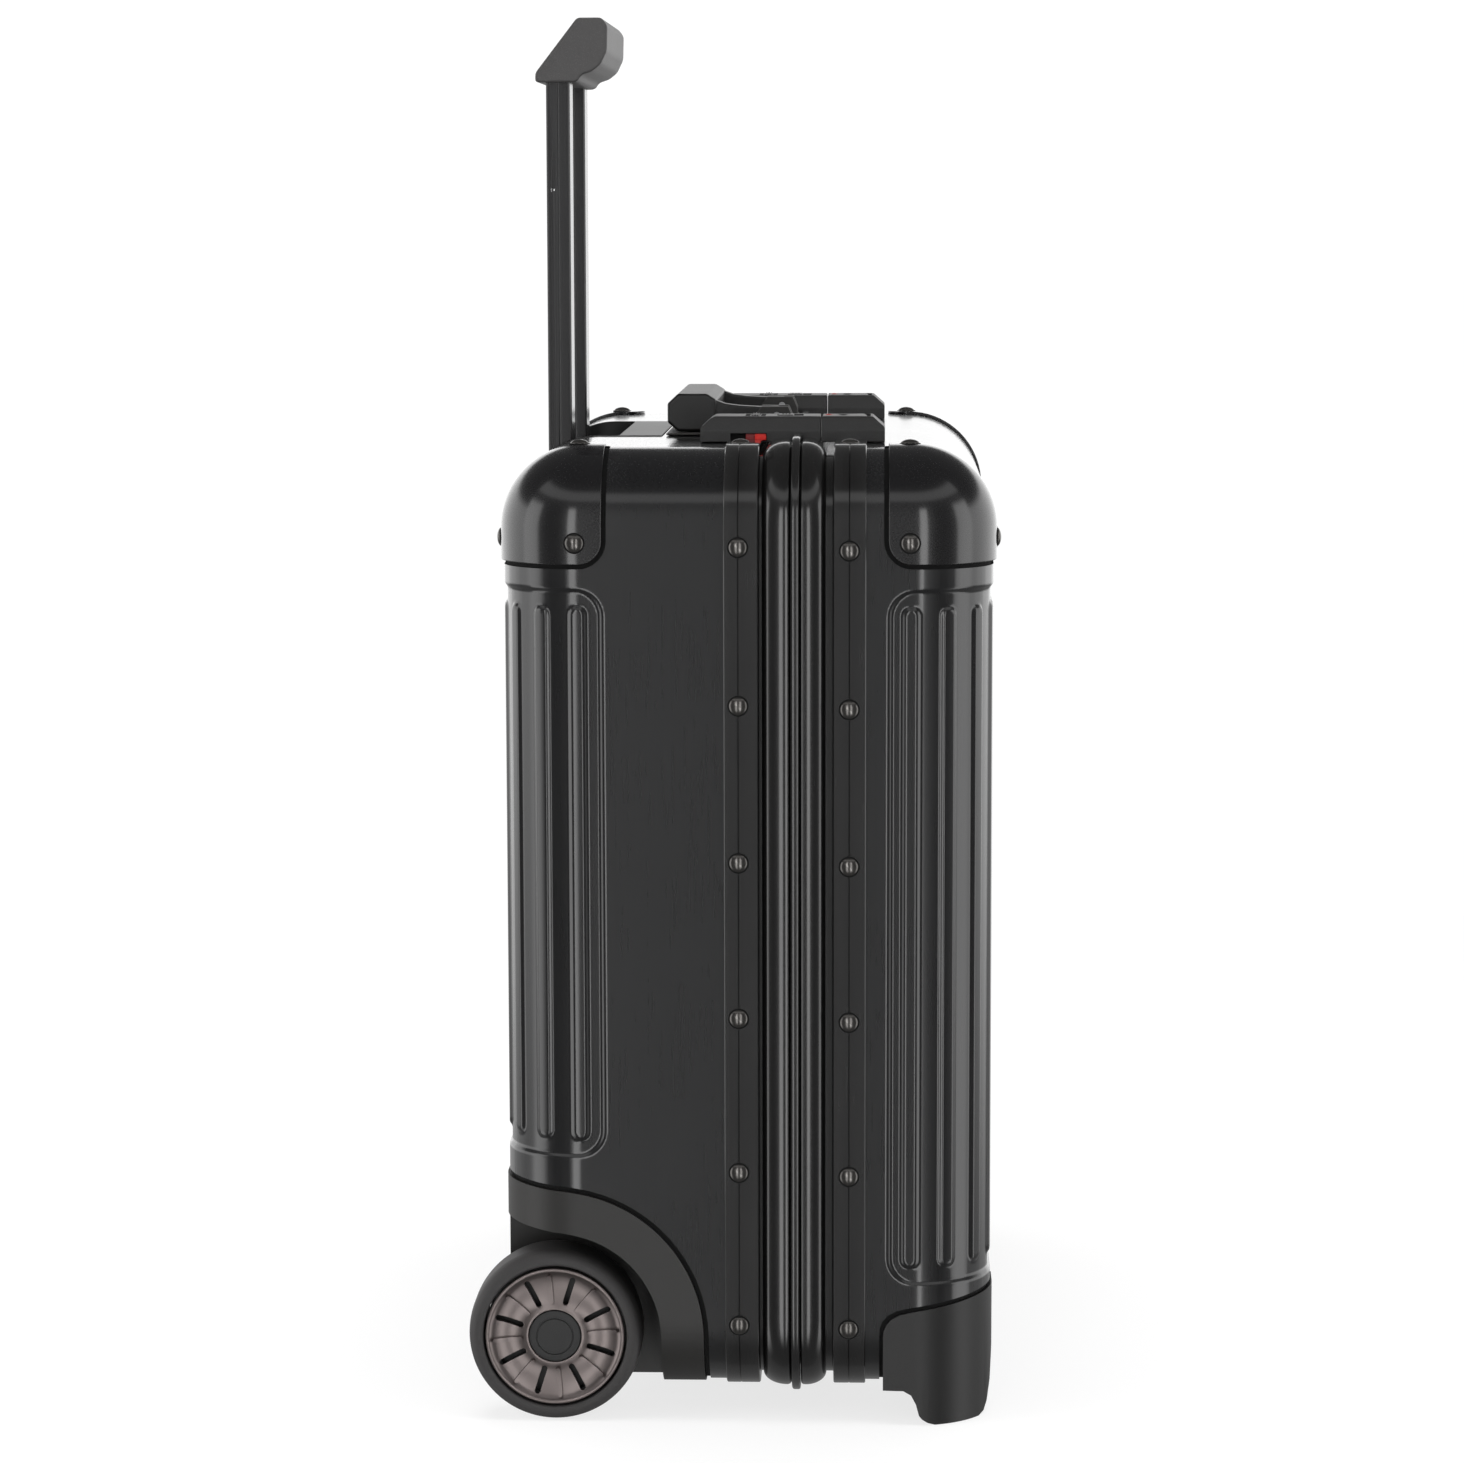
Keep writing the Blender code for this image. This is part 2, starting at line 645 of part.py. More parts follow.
def pull_handle(m):
    """The three tube stages, the block under them, the grip and its button."""
    tube("outer_tube", OUTER_TUBE, OUTER_TUBE_Z, True, m["steel"])
    tube("middle_tube", MIDDLE_TUBE, MIDDLE_TUBE_Z, True, m["tube"])
    tube("inner_tube", INNER_TUBE, INNER_TUBE_Z, True, m["tube"])
    foot = block("tube_foot_block", (-0.0660, TUBE_Y - 0.0120, CASE_BOTTOM),
                 (0.0660, TUBE_Y + 0.0120, OUTER_TUBE_Z[0] - GAP), m["plastic"])
    carve(foot, half_case("foot_room", 0.0, BACK, -SHEET - GAP, solid=True), "INTERSECT")
    grip = prism("handle_grip", grip_outline(), "X", -GRIP_HALF_WIDTH, GRIP_HALF_WIDTH, m["plastic"])
    edges = grip.modifiers.new("soft_edges", "BEVEL")
    edges.width = 0.0010
    edges.segments = 1
    edges.limit_method = "ANGLE"
    for side in (1, -1):
        carve(grip, tube_block(f"grip_socket_{side}", side * TUBE_X, INNER_TUBE, GAP,
                               (0.590, INNER_TUBE_Z[1] + GAP)))
    pocket = block("button_pocket", (-0.0113, 0.0662, 0.6220), (0.0113, 0.0742, 0.6400))
    carve(grip, pocket)
    block("grip_button", (-0.0110, 0.0665, 0.6264), (0.0110, 0.0739, 0.6313), m["lock"])


def wheel(m):
    """One wheel: tyre, core, face disc, centre cap and bearing, on its axle."""
    centre = (0.0, WHEEL_Y, WHEEL_Z)
    seat = 0.0320
    tyre = [
        (WHEEL_RADIUS, TYRE_OUT - 0.0060),
        (WHEEL_RADIUS - 0.0018, TYRE_OUT - 0.0014),
        (WHEEL_RADIUS - 0.0040, TYRE_OUT),
        (seat + GAP, TYRE_OUT),
        (seat + GAP, TYRE_IN),
        (WHEEL_RADIUS - 0.0040, TYRE_IN),
        (WHEEL_RADIUS - 0.0018, TYRE_IN + 0.0014),
        (WHEEL_RADIUS, TYRE_IN + 0.0060),
    ]
    core = [
        (seat, TYRE_OUT - 0.0050),
        (seat, TYRE_IN + 0.0005),
        (seat - 0.0040, TYRE_IN + 0.0005),
        (seat - 0.0040, TYRE_IN + 0.0110),
        (0.0150, TYRE_IN + 0.0110),
        (0.0150, TYRE_IN + 0.0010),
        (0.0113, TYRE_IN + 0.0010),
        (0.0113, TYRE_IN + 0.0090),
        (AXLE_RADIUS + 2 * GAP, TYRE_IN + 0.0090),
        (AXLE_RADIUS + 2 * GAP, TYRE_OUT - 0.0090),
        (seat - 0.0040, TYRE_OUT - 0.0090),
        (seat - 0.0040, TYRE_OUT - 0.0050),
    ]
    disc = [
        (DISC_RADIUS, TYRE_OUT - 0.0002),
        (DISC_RADIUS, TYRE_OUT - 0.0026),
        (0.0240, TYRE_OUT - 0.0052),
        (HUB_CAP_RADIUS + GAP, TYRE_OUT - 0.0034),
        (HUB_CAP_RADIUS + GAP, TYRE_OUT - 0.0014),
        (0.0240, TYRE_OUT - 0.0032),
    ]
    cap = [
        (0.0, TYRE_OUT - 0.0008),
        (HUB_CAP_RADIUS - 0.0008, TYRE_OUT - 0.0008),
        (HUB_CAP_RADIUS, TYRE_OUT - 0.0016),
        (HUB_CAP_RADIUS, TYRE_OUT - 0.0086),
        (HUB_CAP_RADIUS - 0.0015, TYRE_OUT - 0.0086),
        (HUB_CAP_RADIUS - 0.0015, TYRE_OUT - 0.0030),
        (0.0, TYRE_OUT - 0.0030),
    ]
    bearing = [
        (0.0110, TYRE_IN + 0.0015),
        (0.0110, TYRE_IN + 0.0085),
        (AXLE_RADIUS + 0.0002, TYRE_IN + 0.0085),
        (AXLE_RADIUS + 0.0002, TYRE_IN + 0.0015),
    ]
    axle = [
        (0.0, TYRE_OUT - 0.0050),
        (AXLE_RADIUS, TYRE_OUT - 0.0050),
        (AXLE_RADIUS, HOUSING_INNER - 0.0040),
        (0.0075, HOUSING_INNER - 0.0040),
        (0.0075, HOUSING_INNER - 0.0070),
        (0.0, HOUSING_INNER - 0.0070),
    ]
    pieces = (
        ("tyre", tyre, 28, m["rubber"], True),
        ("wheel_core", core, 20, m["plastic"], True),
        ("rim_disc", disc, 28, m["disc"], True),
        ("centre_cap", cap, 20, m["plastic"], False),
        ("wheel_bearing", bearing, 16, m["steel"], True),
        ("wheel_axle", axle, 16, m["steel"], False),
    )
    for stem, profile, steps, finish, closed in pieces:
        piece = turned(stem, profile, centre, steps, finish, closed)
        for placed in both_sides(piece, stem):
            on_pivot(placed, centre)


def foot_outline():
    """A foot seen from the side, starting at its lower back corner and going over the top."""
    return [
        (FOOT_BACK, 0.0162),
        (FOOT_BACK, 0.0420),
        (-0.0695, 0.0478),
        (-0.0745, 0.0512),
        (-0.0804, 0.0524),
        (FRONT - 0.01, 0.0592),
        (FRONT - 0.01, 0.0219),
        (-0.1156, 0.0219),
        (-0.1107, 0.0061),
        (-0.0899, 0.0),
        (-0.0839, 0.0034),
        (-0.0784, 0.0145),
    ]


def front_foot(finish):
    """The moulded foot that covers the lid's lower corner and fills the space under its round edge."""
    foot = prism("front_foot", foot_outline(), "X", FOOT_INNER, HALF_WIDTH + 0.01, finish)
    reach = CORNER + FOOT_PROUD
    column = [(0.10, 0.0), (HALF_WIDTH + FOOT_PROUD, 0.0)]
    column += arc((HALF_WIDTH - CORNER, FRONT + CORNER), reach, 0, -90, 6)
    column += [(0.10, FRONT - FOOT_PROUD)]
    carve(foot, prism("foot_column", column, "Z", -0.01, 0.10), "INTERSECT")
    carve(foot, half_case("foot_inside", LID_RIM, FRONT, GAP, solid=True))
    return both_sides(foot, "foot_front")


def lining_body(name, rim, end, inset, keep_outs, grown, finish=None):
    """Half of the case, inset, with the keep-out boxes taken off, each grown by the same amount."""
    body = half_case(name, rim, end, -inset, solid=True, finish=finish)
    for low, high in keep_outs:
        grown_low = [c - grown for c in low]
        grown_high = [c + grown for c in high]
        carve(body, block(f"{name}_keep_out", grown_low, grown_high))
    return body


def linings(finish):
    """The soft linings: open trays of padded fabric, with room left for everything behind them."""
    keep_outs = [
        ((-TRAY_HALF_WIDTH, TRAY_Y[0], TRAY_FLOOR - 0.003), (TRAY_HALF_WIDTH, 0.2, 0.5)),
        ((-CHANNEL_HALF_WIDTH, TUBE_Y - 0.0125, 0.0), (CHANNEL_HALF_WIDTH, 0.2, 0.5)),
    ]
    behind = WHEEL_Y - HOUSING_RADIUS
    over = WHEEL_Z + HOUSING_RADIUS + 0.003
    keep_outs.append(((AXLE_HEAD_X, behind, 0.0), (0.3, 0.2, over)))
    keep_outs.append(((-0.3, behind, 0.0), (-AXLE_HEAD_X, 0.2, over)))
    base = lining_body("base_lining", -0.0250, BACK, LINING_INSET, keep_outs, CLEAR, finish)
    hollow = lining_body("base_lining_hollow", -0.0600, BACK, LINING_INSET + CLOTH, keep_outs, CLEAR + CLOTH)
    carve(base, hollow)
    lid = lining_body("lid_lining", -0.0335, FRONT, LINING_INSET, [], CLEAR, finish)
    carve(lid, lining_body("lid_lining_hollow", 0.0, FRONT, LINING_INSET + CLOTH, [], CLEAR))


def locks(m):
    """The lock cases on the base and the hasps on the lid, with their moving pieces."""
    x_span = (LOCK_X - LOCK_HALF_WIDTH, LOCK_X + LOCK_HALF_WIDTH)
    case_outline = [
        (0.0166, LOCK_UNDERSIDE),
        (0.0166, 0.4449),
        (0.0112, 0.4496),
        (0.0100, LOCK_TOP),
        (-0.0379, LOCK_TOP),
        (-0.0379, LOCK_UNDERSIDE),
    ]
    case = prism("lock_case", case_outline, "X", *x_span, m["lock"])
    dial_z = LOCK_TOP + 0.0008 - DIAL_RADIUS
    slot = 0.0004
    for i in (-1, 0, 1):
        x = LOCK_X + i * DIAL_PITCH
        half = 0.0024 + slot
        reach = DIAL_RADIUS + slot
        carve(case, block("dial_slot", (x - half, DIAL_Y - reach, dial_z - reach),
                          (x + half, DIAL_Y + reach, LOCK_TOP + 0.01)))
    carve(case, block("release_slot", (LOCK_X - 0.0070, -0.0300, 0.4460), (LOCK_X + 0.0070, -0.0180, 0.46)))
    window = block("set_window", (x_span[1] - 0.0020, -0.0136, 0.4389), (x_span[1] + 0.01, 0.0030, 0.4424))
    carve(case, window)
    both_sides(case, "lock_case")
    button = block("release_button", (LOCK_X - 0.0066, -0.0256, 0.4463), (LOCK_X + 0.0066, -0.0184, 0.4504),
                   m["lock"])
    both_sides(button, "release_button")
    slider = block("set_slider", (x_span[1] - 0.0017, -0.0133, 0.4392), (x_span[1] - 0.0002, -0.0040, 0.4421),
                   m["indicator"])
    both_sides(slider, "set_slider")
    dial = [(0.0, 0.0022), (DIAL_RADIUS, 0.0022), (DIAL_RADIUS, -0.0022), (0.0, -0.0022)]
    for side, word in ((1, "right"), (-1, "left")):
        for i in (-1, 0, 1):
            place = (side * (LOCK_X + i * DIAL_PITCH), DIAL_Y, dial_z)
            turned(f"dial_{word}_{i + 2}", dial, place, 10, m["lock"], closed=False)

    base_outline = [
        (-0.0384, LOCK_UNDERSIDE),
        (-0.0384, LOCK_TOP),
        (-0.0615, LOCK_TOP),
        (-0.0671, 0.4450),
        (-0.0671, LOCK_UNDERSIDE),
    ]
    hasp = prism("hasp_base", base_outline, "X", *x_span, m["lock"])
    carve(hasp, block("hasp_pocket", (LOCK_X - 0.0113, -0.0606, 0.4444), (LOCK_X + 0.0113, 0.0, 0.46)))
    both_sides(hasp, "hasp_base")
    pivot_y, pivot_z = HASP_PIVOT
    lever_outline = [(-0.0387, 0.4449), (-0.0387, LOCK_TOP)]
    lever_outline += arc((pivot_y, pivot_z), LOCK_TOP - pivot_z, 90, 270, 6)
    lever = prism("hasp_lever", lever_outline, "X", LOCK_X - 0.0110, LOCK_X + 0.0110, m["lock"])
    for placed in both_sides(lever, "hasp_lever"):
        on_pivot(placed, (0.0, pivot_y, pivot_z))


def carry_handle(m):
    """The carry handle, folded back, and the plate with the four ears that it turns between."""
    plate_outline = [
        (0.0352, 0.4384),
        (0.0352, 0.4393),
        (0.0110, 0.4393),
        (0.0080, 0.4430),
        (-0.0246, 0.4430),
        (-0.0246, 0.4409),
        (-0.0120, 0.4409),
        (-0.0118, 0.4400),
        (0.0044, 0.4400),
        (0.0044, 0.4384),
    ]
    plate = prism("carry_handle_base", plate_outline, "X", -0.0640, 0.0640, m["plastic"])
    ear = [(-0.0075, 0.4420), (-0.0095, 0.4508), (-0.0205, 0.4508), (-0.0240, 0.4470), (-0.0240, 0.4420)]
    for side in (1, -1):
        for start, end in ((ARM_X[0] - 0.0043, ARM_X[0] - GAP), (ARM_X[1] + GAP, ARM_X[1] + 0.0043)):
            carve(plate, prism("handle_ear", ear, "X", side * start, side * end), "UNION")
    pivot_y, pivot_z = CARRY_PIVOT
    grip = [
        (0.0349, 0.4444),
        (0.0349, 0.4525),
        (0.0297, 0.4574),
        (0.0165, 0.4574),
        (0.0120, 0.4550),
        (0.0120, 0.4460),
        (0.0185, 0.4398),
        (0.0297, 0.4398),
    ]
    handle = prism("carry_handle", grip, "X", -0.0570, 0.0570, m["plastic"])
    arm = arc((pivot_y, pivot_z), 0.0040, 270, 90, 5)
    arm += [(0.0010, 0.4518), (0.0090, 0.4530), (0.0140, 0.4544), (0.0200, 0.4550), (0.0200, 0.4440)]
    for side in (1, -1):
        carve(handle, prism("handle_arm", arm, "X", side * ARM_X[0], side * ARM_X[1]), "UNION")
    on_pivot(handle, (0.0, pivot_y, pivot_z))


def hinge_leaf(name, way, knuckles, finish):
    """A joggled hinge leaf under one frame, with its knuckles around the pin."""
    flange = CASE_BOTTOM - FLANGE - 0.0010
    near = PARTING + way * 0.0036
    far = PARTING + way * 0.0330
    rise = PARTING + way * 0.0175
    top = CASE_BOTTOM - LIP - GAP
    bottom = top - 0.0014
    outline = [(near, bottom), (near, top), (rise, top), (rise + way * 0.0008, flange), (far, flange),
               (far, flange - 0.0014), (rise + way * 0.0030, flange - 0.0014), (rise + way * 0.0020, bottom)]
    leaf = prism(name, outline, "X", -HINGE_HALF_WIDTH, HINGE_HALF_WIDTH, finish)
    for start, end in knuckles:
        tongue = [(PARTING, bottom), (PARTING, top), (near + way * 0.002, top), (near + way * 0.002, bottom)]
        carve(leaf, prism(f"{name}_tongue", tongue, "X", start, end), "UNION")
        barrel = arc((PARTING, HINGE_PIN_Z), HINGE_KNUCKLE, 0, 330, 11)
        carve(leaf, prism(f"{name}_knuckle", barrel, "X", start, end), "UNION")
    bore = arc((PARTING, HINGE_PIN_Z), 0.0015, 0, 330, 11)
    carve(leaf, prism(f"{name}_bore", bore, "X", -0.1, 0.1))
    return leaf


def lid_hinge(finish):
    """The hinge that joins the frames along the bottom."""
    span = HINGE_HALF_WIDTH / 3
    hinge_leaf("hinge_leaf_base", 1, ((-3 * span, -span - GAP), (span + GAP, 3 * span)), finish)
    hinge_leaf("hinge_leaf_lid", -1, ((-span + GAP, span - GAP),), finish)
    pin = arc((PARTING, HINGE_PIN_Z), 0.0012, 0, 330, 11)
    prism("hinge_pin", pin, "X", -HINGE_HALF_WIDTH - 0.001, HINGE_HALF_WIDTH + 0.001, finish)


def main():
    clear_scene()
    m = make_materials()
    main_shells(m["shell"])
    frames(m["frame"], m["rubber"])
    rivet_strip("base_frame_rivets", BASE_RIVET_Y, BASE_RIVET_TOP, m["rivet"])
    rivet_strip("lid_frame_rivets", LID_RIVET_Y, LID_RIVET_TOP, m["rivet"])
    corner_cap("corner_cap_back", 0.0, BACK, BACK_CAP_Y, BACK_CAP_RIVET_Y, m["cap"])
    corner_cap("corner_cap_front", LID_RIM, FRONT, FRONT_CAP_Y, FRONT_CAP_RIVET_Y, m["cap"])
    wheel_housing(m["plastic"])
    wheel(m)
    front_foot(m["plastic"])
    handle_tray(m["plastic"])
    pull_handle(m)
    linings(m["lining"])
    locks(m)
    carry_handle(m)
    lid_hinge(m["steel"])


main()
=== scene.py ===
"""Looks for a black aluminium trolley case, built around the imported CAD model.

Every stand-in piece rides on the body of the CAD node it replaces. Metres, +Z up, the lid at -Y.
"""

import json
import math

import bmesh
import bpy
import numpy as np
from mathutils import Matrix, Vector


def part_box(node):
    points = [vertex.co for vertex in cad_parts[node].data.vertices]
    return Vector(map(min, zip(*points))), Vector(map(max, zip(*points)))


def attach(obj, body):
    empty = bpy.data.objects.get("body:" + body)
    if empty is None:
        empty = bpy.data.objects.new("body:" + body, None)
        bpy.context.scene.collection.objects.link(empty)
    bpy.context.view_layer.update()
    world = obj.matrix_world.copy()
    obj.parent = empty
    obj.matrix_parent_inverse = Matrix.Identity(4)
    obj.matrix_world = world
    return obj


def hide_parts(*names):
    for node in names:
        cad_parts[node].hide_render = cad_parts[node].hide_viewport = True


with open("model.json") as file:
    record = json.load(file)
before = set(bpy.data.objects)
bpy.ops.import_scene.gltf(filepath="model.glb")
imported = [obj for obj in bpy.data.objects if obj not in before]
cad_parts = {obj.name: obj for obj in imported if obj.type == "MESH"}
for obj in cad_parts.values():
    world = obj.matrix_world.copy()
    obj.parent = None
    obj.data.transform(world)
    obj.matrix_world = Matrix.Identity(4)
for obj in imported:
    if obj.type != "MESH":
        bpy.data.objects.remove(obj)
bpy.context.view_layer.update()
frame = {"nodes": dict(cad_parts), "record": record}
BODY_OF = {n: body for body, nodes in frame["record"]["behaviour"]["bodies"].items() for n in nodes}

# The case, from the CAD nodes' own boxes.
BASE_LOW, BASE_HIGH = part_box("base_shell")
LID_LOW, LID_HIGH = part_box("lid_shell")
HALF = BASE_HIGH.x
TOP = BASE_HIGH.z
BOTTOM = BASE_LOW.z
BACK = BASE_HIGH.y
FRONT = LID_LOW.y
BASE_RIM = BASE_LOW.y
LID_RIM = LID_HIGH.y
CORNER = 0.036
SHEET = 0.0012
QUARTER = CORNER * math.pi / 2
FLAT_X = HALF - CORNER
PARTING = -0.0298

# Ribbed panels: (where it starts beside the corner, low, high, first rib, number of rib spaces to the middle).
PANEL_DEPTH = 0.0013
PANEL_CORNER = 0.0130
PANEL_SLOPE = 0.0024
RIB_TOP = 0.0021
RIB_FOOT = 0.0049
RIB_INSET = 0.0073
BACK_PANEL = (-0.0105, 0.1216, 0.3781, 0.0012, 12)
FRONT_PANEL = (-0.0113, 0.0639, 0.3777, -0.0008, 12)
FINE = 0.0008
ROUND_STEPS = 18


# ---------------------------------------------------------------- mesh helpers

def shade(mesh, angle):
    """Soft shading, with the edges kept sharp that turn more than the angle."""
    mesh.shade_smooth()
    mesh.set_sharp_from_angle(angle=math.radians(angle))


def link_object(name, mesh):
    obj = bpy.data.objects.new(name, mesh)
    bpy.context.scene.collection.objects.link(obj)
    return obj


def make_object(name, bm, smooth=35):
    """Turns a bmesh into a linked object with soft shading."""
    bmesh.ops.recalc_face_normals(bm, faces=bm.faces)
    mesh = bpy.data.meshes.new(name)
    bm.to_mesh(mesh)
    bm.free()
    shade(mesh, smooth)
    return link_object(name, mesh)


def bake(obj, smooth=35):
    """Applies the modifiers and turns the object's own place into its mesh."""
    bpy.context.view_layer.update()
    graph = bpy.context.evaluated_depsgraph_get()
    mesh = bpy.data.meshes.new_from_object(obj.evaluated_get(graph))
    mesh.transform(obj.matrix_world)
    obj.modifiers.clear()
    obj.matrix_world = Matrix.Identity(4)
    obj.data = mesh
    shade(mesh, smooth)
    return obj


def cut(obj, tools, operation="DIFFERENCE", smooth=35):
    """Cuts, joins or intersects with other objects, which are used up."""
    tools = tools if isinstance(tools, (list, tuple)) else [tools]
    for tool in tools:
        modifier = obj.modifiers.new("cut", "BOOLEAN")
        modifier.operation = operation
        modifier.solver = "MANIFOLD"
        modifier.material_mode = "TRANSFER"
        modifier.object = tool
    bake(obj, smooth)
    for tool in tools:
        bpy.data.objects.remove(tool)
    return obj


def add_bevel(obj, width, segments, angle):
    """A bevel, as a modifier, on the edges that are sharper than the angle."""
    modifier = obj.modifiers.new("soft_edges", "BEVEL")
    modifier.width = width
    modifier.segments = segments
    modifier.limit_method = "ANGLE"
    modifier.angle_limit = math.radians(angle)


def soft_edges(obj, width, segments, angle):
    """Rounds the edges that are sharper than the angle."""
    add_bevel(obj, width, segments, angle)
    return bake(obj, 60)


def join(name, objs):
    """One object from several."""
    bm = bmesh.new()
    slots = []
    for obj in objs:
        first = len(bm.faces)
        bm.from_mesh(obj.data)
        bm.faces.ensure_lookup_table()
        for finish in obj.data.materials:
            if finish not in slots:
                slots.append(finish)
        if slots:
            names = list(obj.data.materials)
            for face in bm.faces[first:]:
                face.material_index = slots.index(names[min(face.material_index, len(names) - 1)])
        bpy.data.objects.remove(obj)
    made = make_object(name, bm, 46)
    for finish in slots:
        made.data.materials.append(finish)
    return made


def mirrored(obj):
    """A copy of the object on the other side of the case."""
    mesh = obj.data.copy()
    mesh.transform(Matrix.Scale(-1.0, 4, (1.0, 0.0, 0.0)))
    mesh.flip_normals()
    return link_object("mirrored", mesh)


def paint(obj, finish):
    """Gives the whole object one finish."""
    obj.data.materials.clear()
    obj.data.materials.append(finish)
    obj.data.polygons.foreach_set("material_index", [0] * len(obj.data.polygons))
    return obj


def place(obj, node, finish, slot):
    """Makes the object the visible stand-in of a CAD node."""
    obj.name = f"{node}.look"
    if finish is not None:
        paint(obj, finish)
    if slot not in ("lining_fabric", "rivet_metal"):
        even = obj.modifiers.new("even_normals", "WEIGHTED_NORMAL")
        even.keep_sharp = True
    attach(obj, BODY_OF[node])
    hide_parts(node)


def both_sides(obj, stem, finish, slot):
    """The right-hand piece and its left-hand copy, each in place of its CAD node."""
    left = mirrored(obj)
    place(obj, f"{stem}_right", finish, slot)
    place(left, f"{stem}_left", finish, slot)


def block(low, high, edge=0.0, segments=3):
    """A box between two corners, with its edges rounded if asked."""
    bm = bmesh.new()
    bmesh.ops.create_cube(bm, size=1.0)
    size = [b - a for a, b in zip(low, high)]
    middle = [(a + b) / 2 for a, b in zip(low, high)]
    bmesh.ops.scale(bm, vec=size, verts=bm.verts)
    bmesh.ops.translate(bm, vec=middle, verts=bm.verts)
    if edge:
        bmesh.ops.bevel(bm, geom=list(bm.edges), offset=edge, segments=segments, profile=0.5, affect="EDGES")
    return make_object("block", bm)


def prism(outline, axis, start, end, edge=0.0, segments=3):
    """A flat outline pushed along an axis, with its two ends rounded off if asked."""
    places = {
        "X": lambda a, b: (start, a, b),
        "Y": lambda a, b: (a, start, b),
        "Z": lambda a, b: (a, b, start),
    }
    bm = bmesh.new()
    face = bm.faces.new([bm.verts.new(places[axis](a, b)) for a, b in outline])
    pushed = bmesh.ops.extrude_face_region(bm, geom=[face])
    shift = [(end - start) if letter == axis else 0.0 for letter in "XYZ"]
    moved = [v for v in pushed["geom"] if isinstance(v, bmesh.types.BMVert)]
    bmesh.ops.translate(bm, vec=shift, verts=moved)
    bmesh.ops.recalc_face_normals(bm, faces=bm.faces)
    if edge:
        ends = [e for e in bm.edges if e.calc_face_angle(0.0) > math.radians(50)]
        bmesh.ops.bevel(bm, geom=ends, offset=edge, segments=segments, profile=0.5, affect="EDGES",
                        clamp_overlap=True)
    return make_object("prism", bm)


def arc(centre, radius, start, end, steps):
    """Points on an arc, from one angle to another, in degrees."""
    angles = [math.radians(start + (end - start) * i / steps) for i in range(steps + 1)]
    return [(centre[0] + radius * math.cos(a), centre[1] + radius * math.sin(a)) for a in angles]


def softened(outline, radius, steps=4):
    """A closed outline with every corner rounded."""
    made = []
    for i, point in enumerate(outline):
        here = Vector(point)
        back = Vector(outline[i - 1]) - here
        on = Vector(outline[(i + 1) % len(outline)]) - here
        reach = min(radius, 0.46 * back.length, 0.46 * on.length)
        first = here + back.normalized() * reach
        last = here + on.normalized() * reach
        for k in range(steps + 1):
            t = k / steps
            spot = first * (1 - t) ** 2 + here * 2 * t * (1 - t) + last * t * t
            made.append((spot.x, spot.y))
    return made


def turned(profile, centre, steps):
    """A piece turned about the X direction through a point. The profile holds (radius, x) points."""
    bm = bmesh.new()
    rings = []
    for k in range(steps):
        a = 2 * math.pi * k / steps
        ring = []
        for radius, x in profile:
            ring.append(bm.verts.new((x, centre[0] + radius * math.cos(a), centre[1] + radius * math.sin(a))))
        rings.append(ring)
    count = len(profile)
    for k in range(steps):
        near, far = rings[k], rings[(k + 1) % steps]
        for i in range(count):
            j = (i + 1) % count
            bm.faces.new((near[i], near[j], far[j], far[i]))
    bmesh.ops.remove_doubles(bm, verts=bm.verts, dist=1e-7)
    bmesh.ops.delete(bm, geom=[e for e in bm.edges if not e.link_faces], context="EDGES")
    return make_object("turned", bm)


def rod(radius, start, end, centre, steps):
    """A cylinder along X, from start to end."""
    return turned([(radius, start), (radius, end), (0.0, end), (0.0, start)], centre, steps)


def across(side, inner, outer):
    """Two places along X on this side of the case, the lower one first."""
    return sorted((side * inner, side * outer))


def middle_of(node, axis):
    """The middle of a CAD node's box along one axis."""
    low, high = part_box(node)
    return low[axis] / 2 + high[axis] / 2


def spaced(start, end, step):
    """Even places from start to end, about a step apart."""
    count = max(1, round(abs(end - start) / step))
    return [start + (end - start) * i / count for i in range(count + 1)]


# ---------------------------------------------------------------- the case's skin

def thinned(values, special, least):
    """The values in order, without those that crowd the special ones or each other."""
    kept = sorted(set(special))
    for value in sorted(values):
        if all(abs(value - k) >= least for k in kept):
            kept.append(value)
    return sorted(kept)


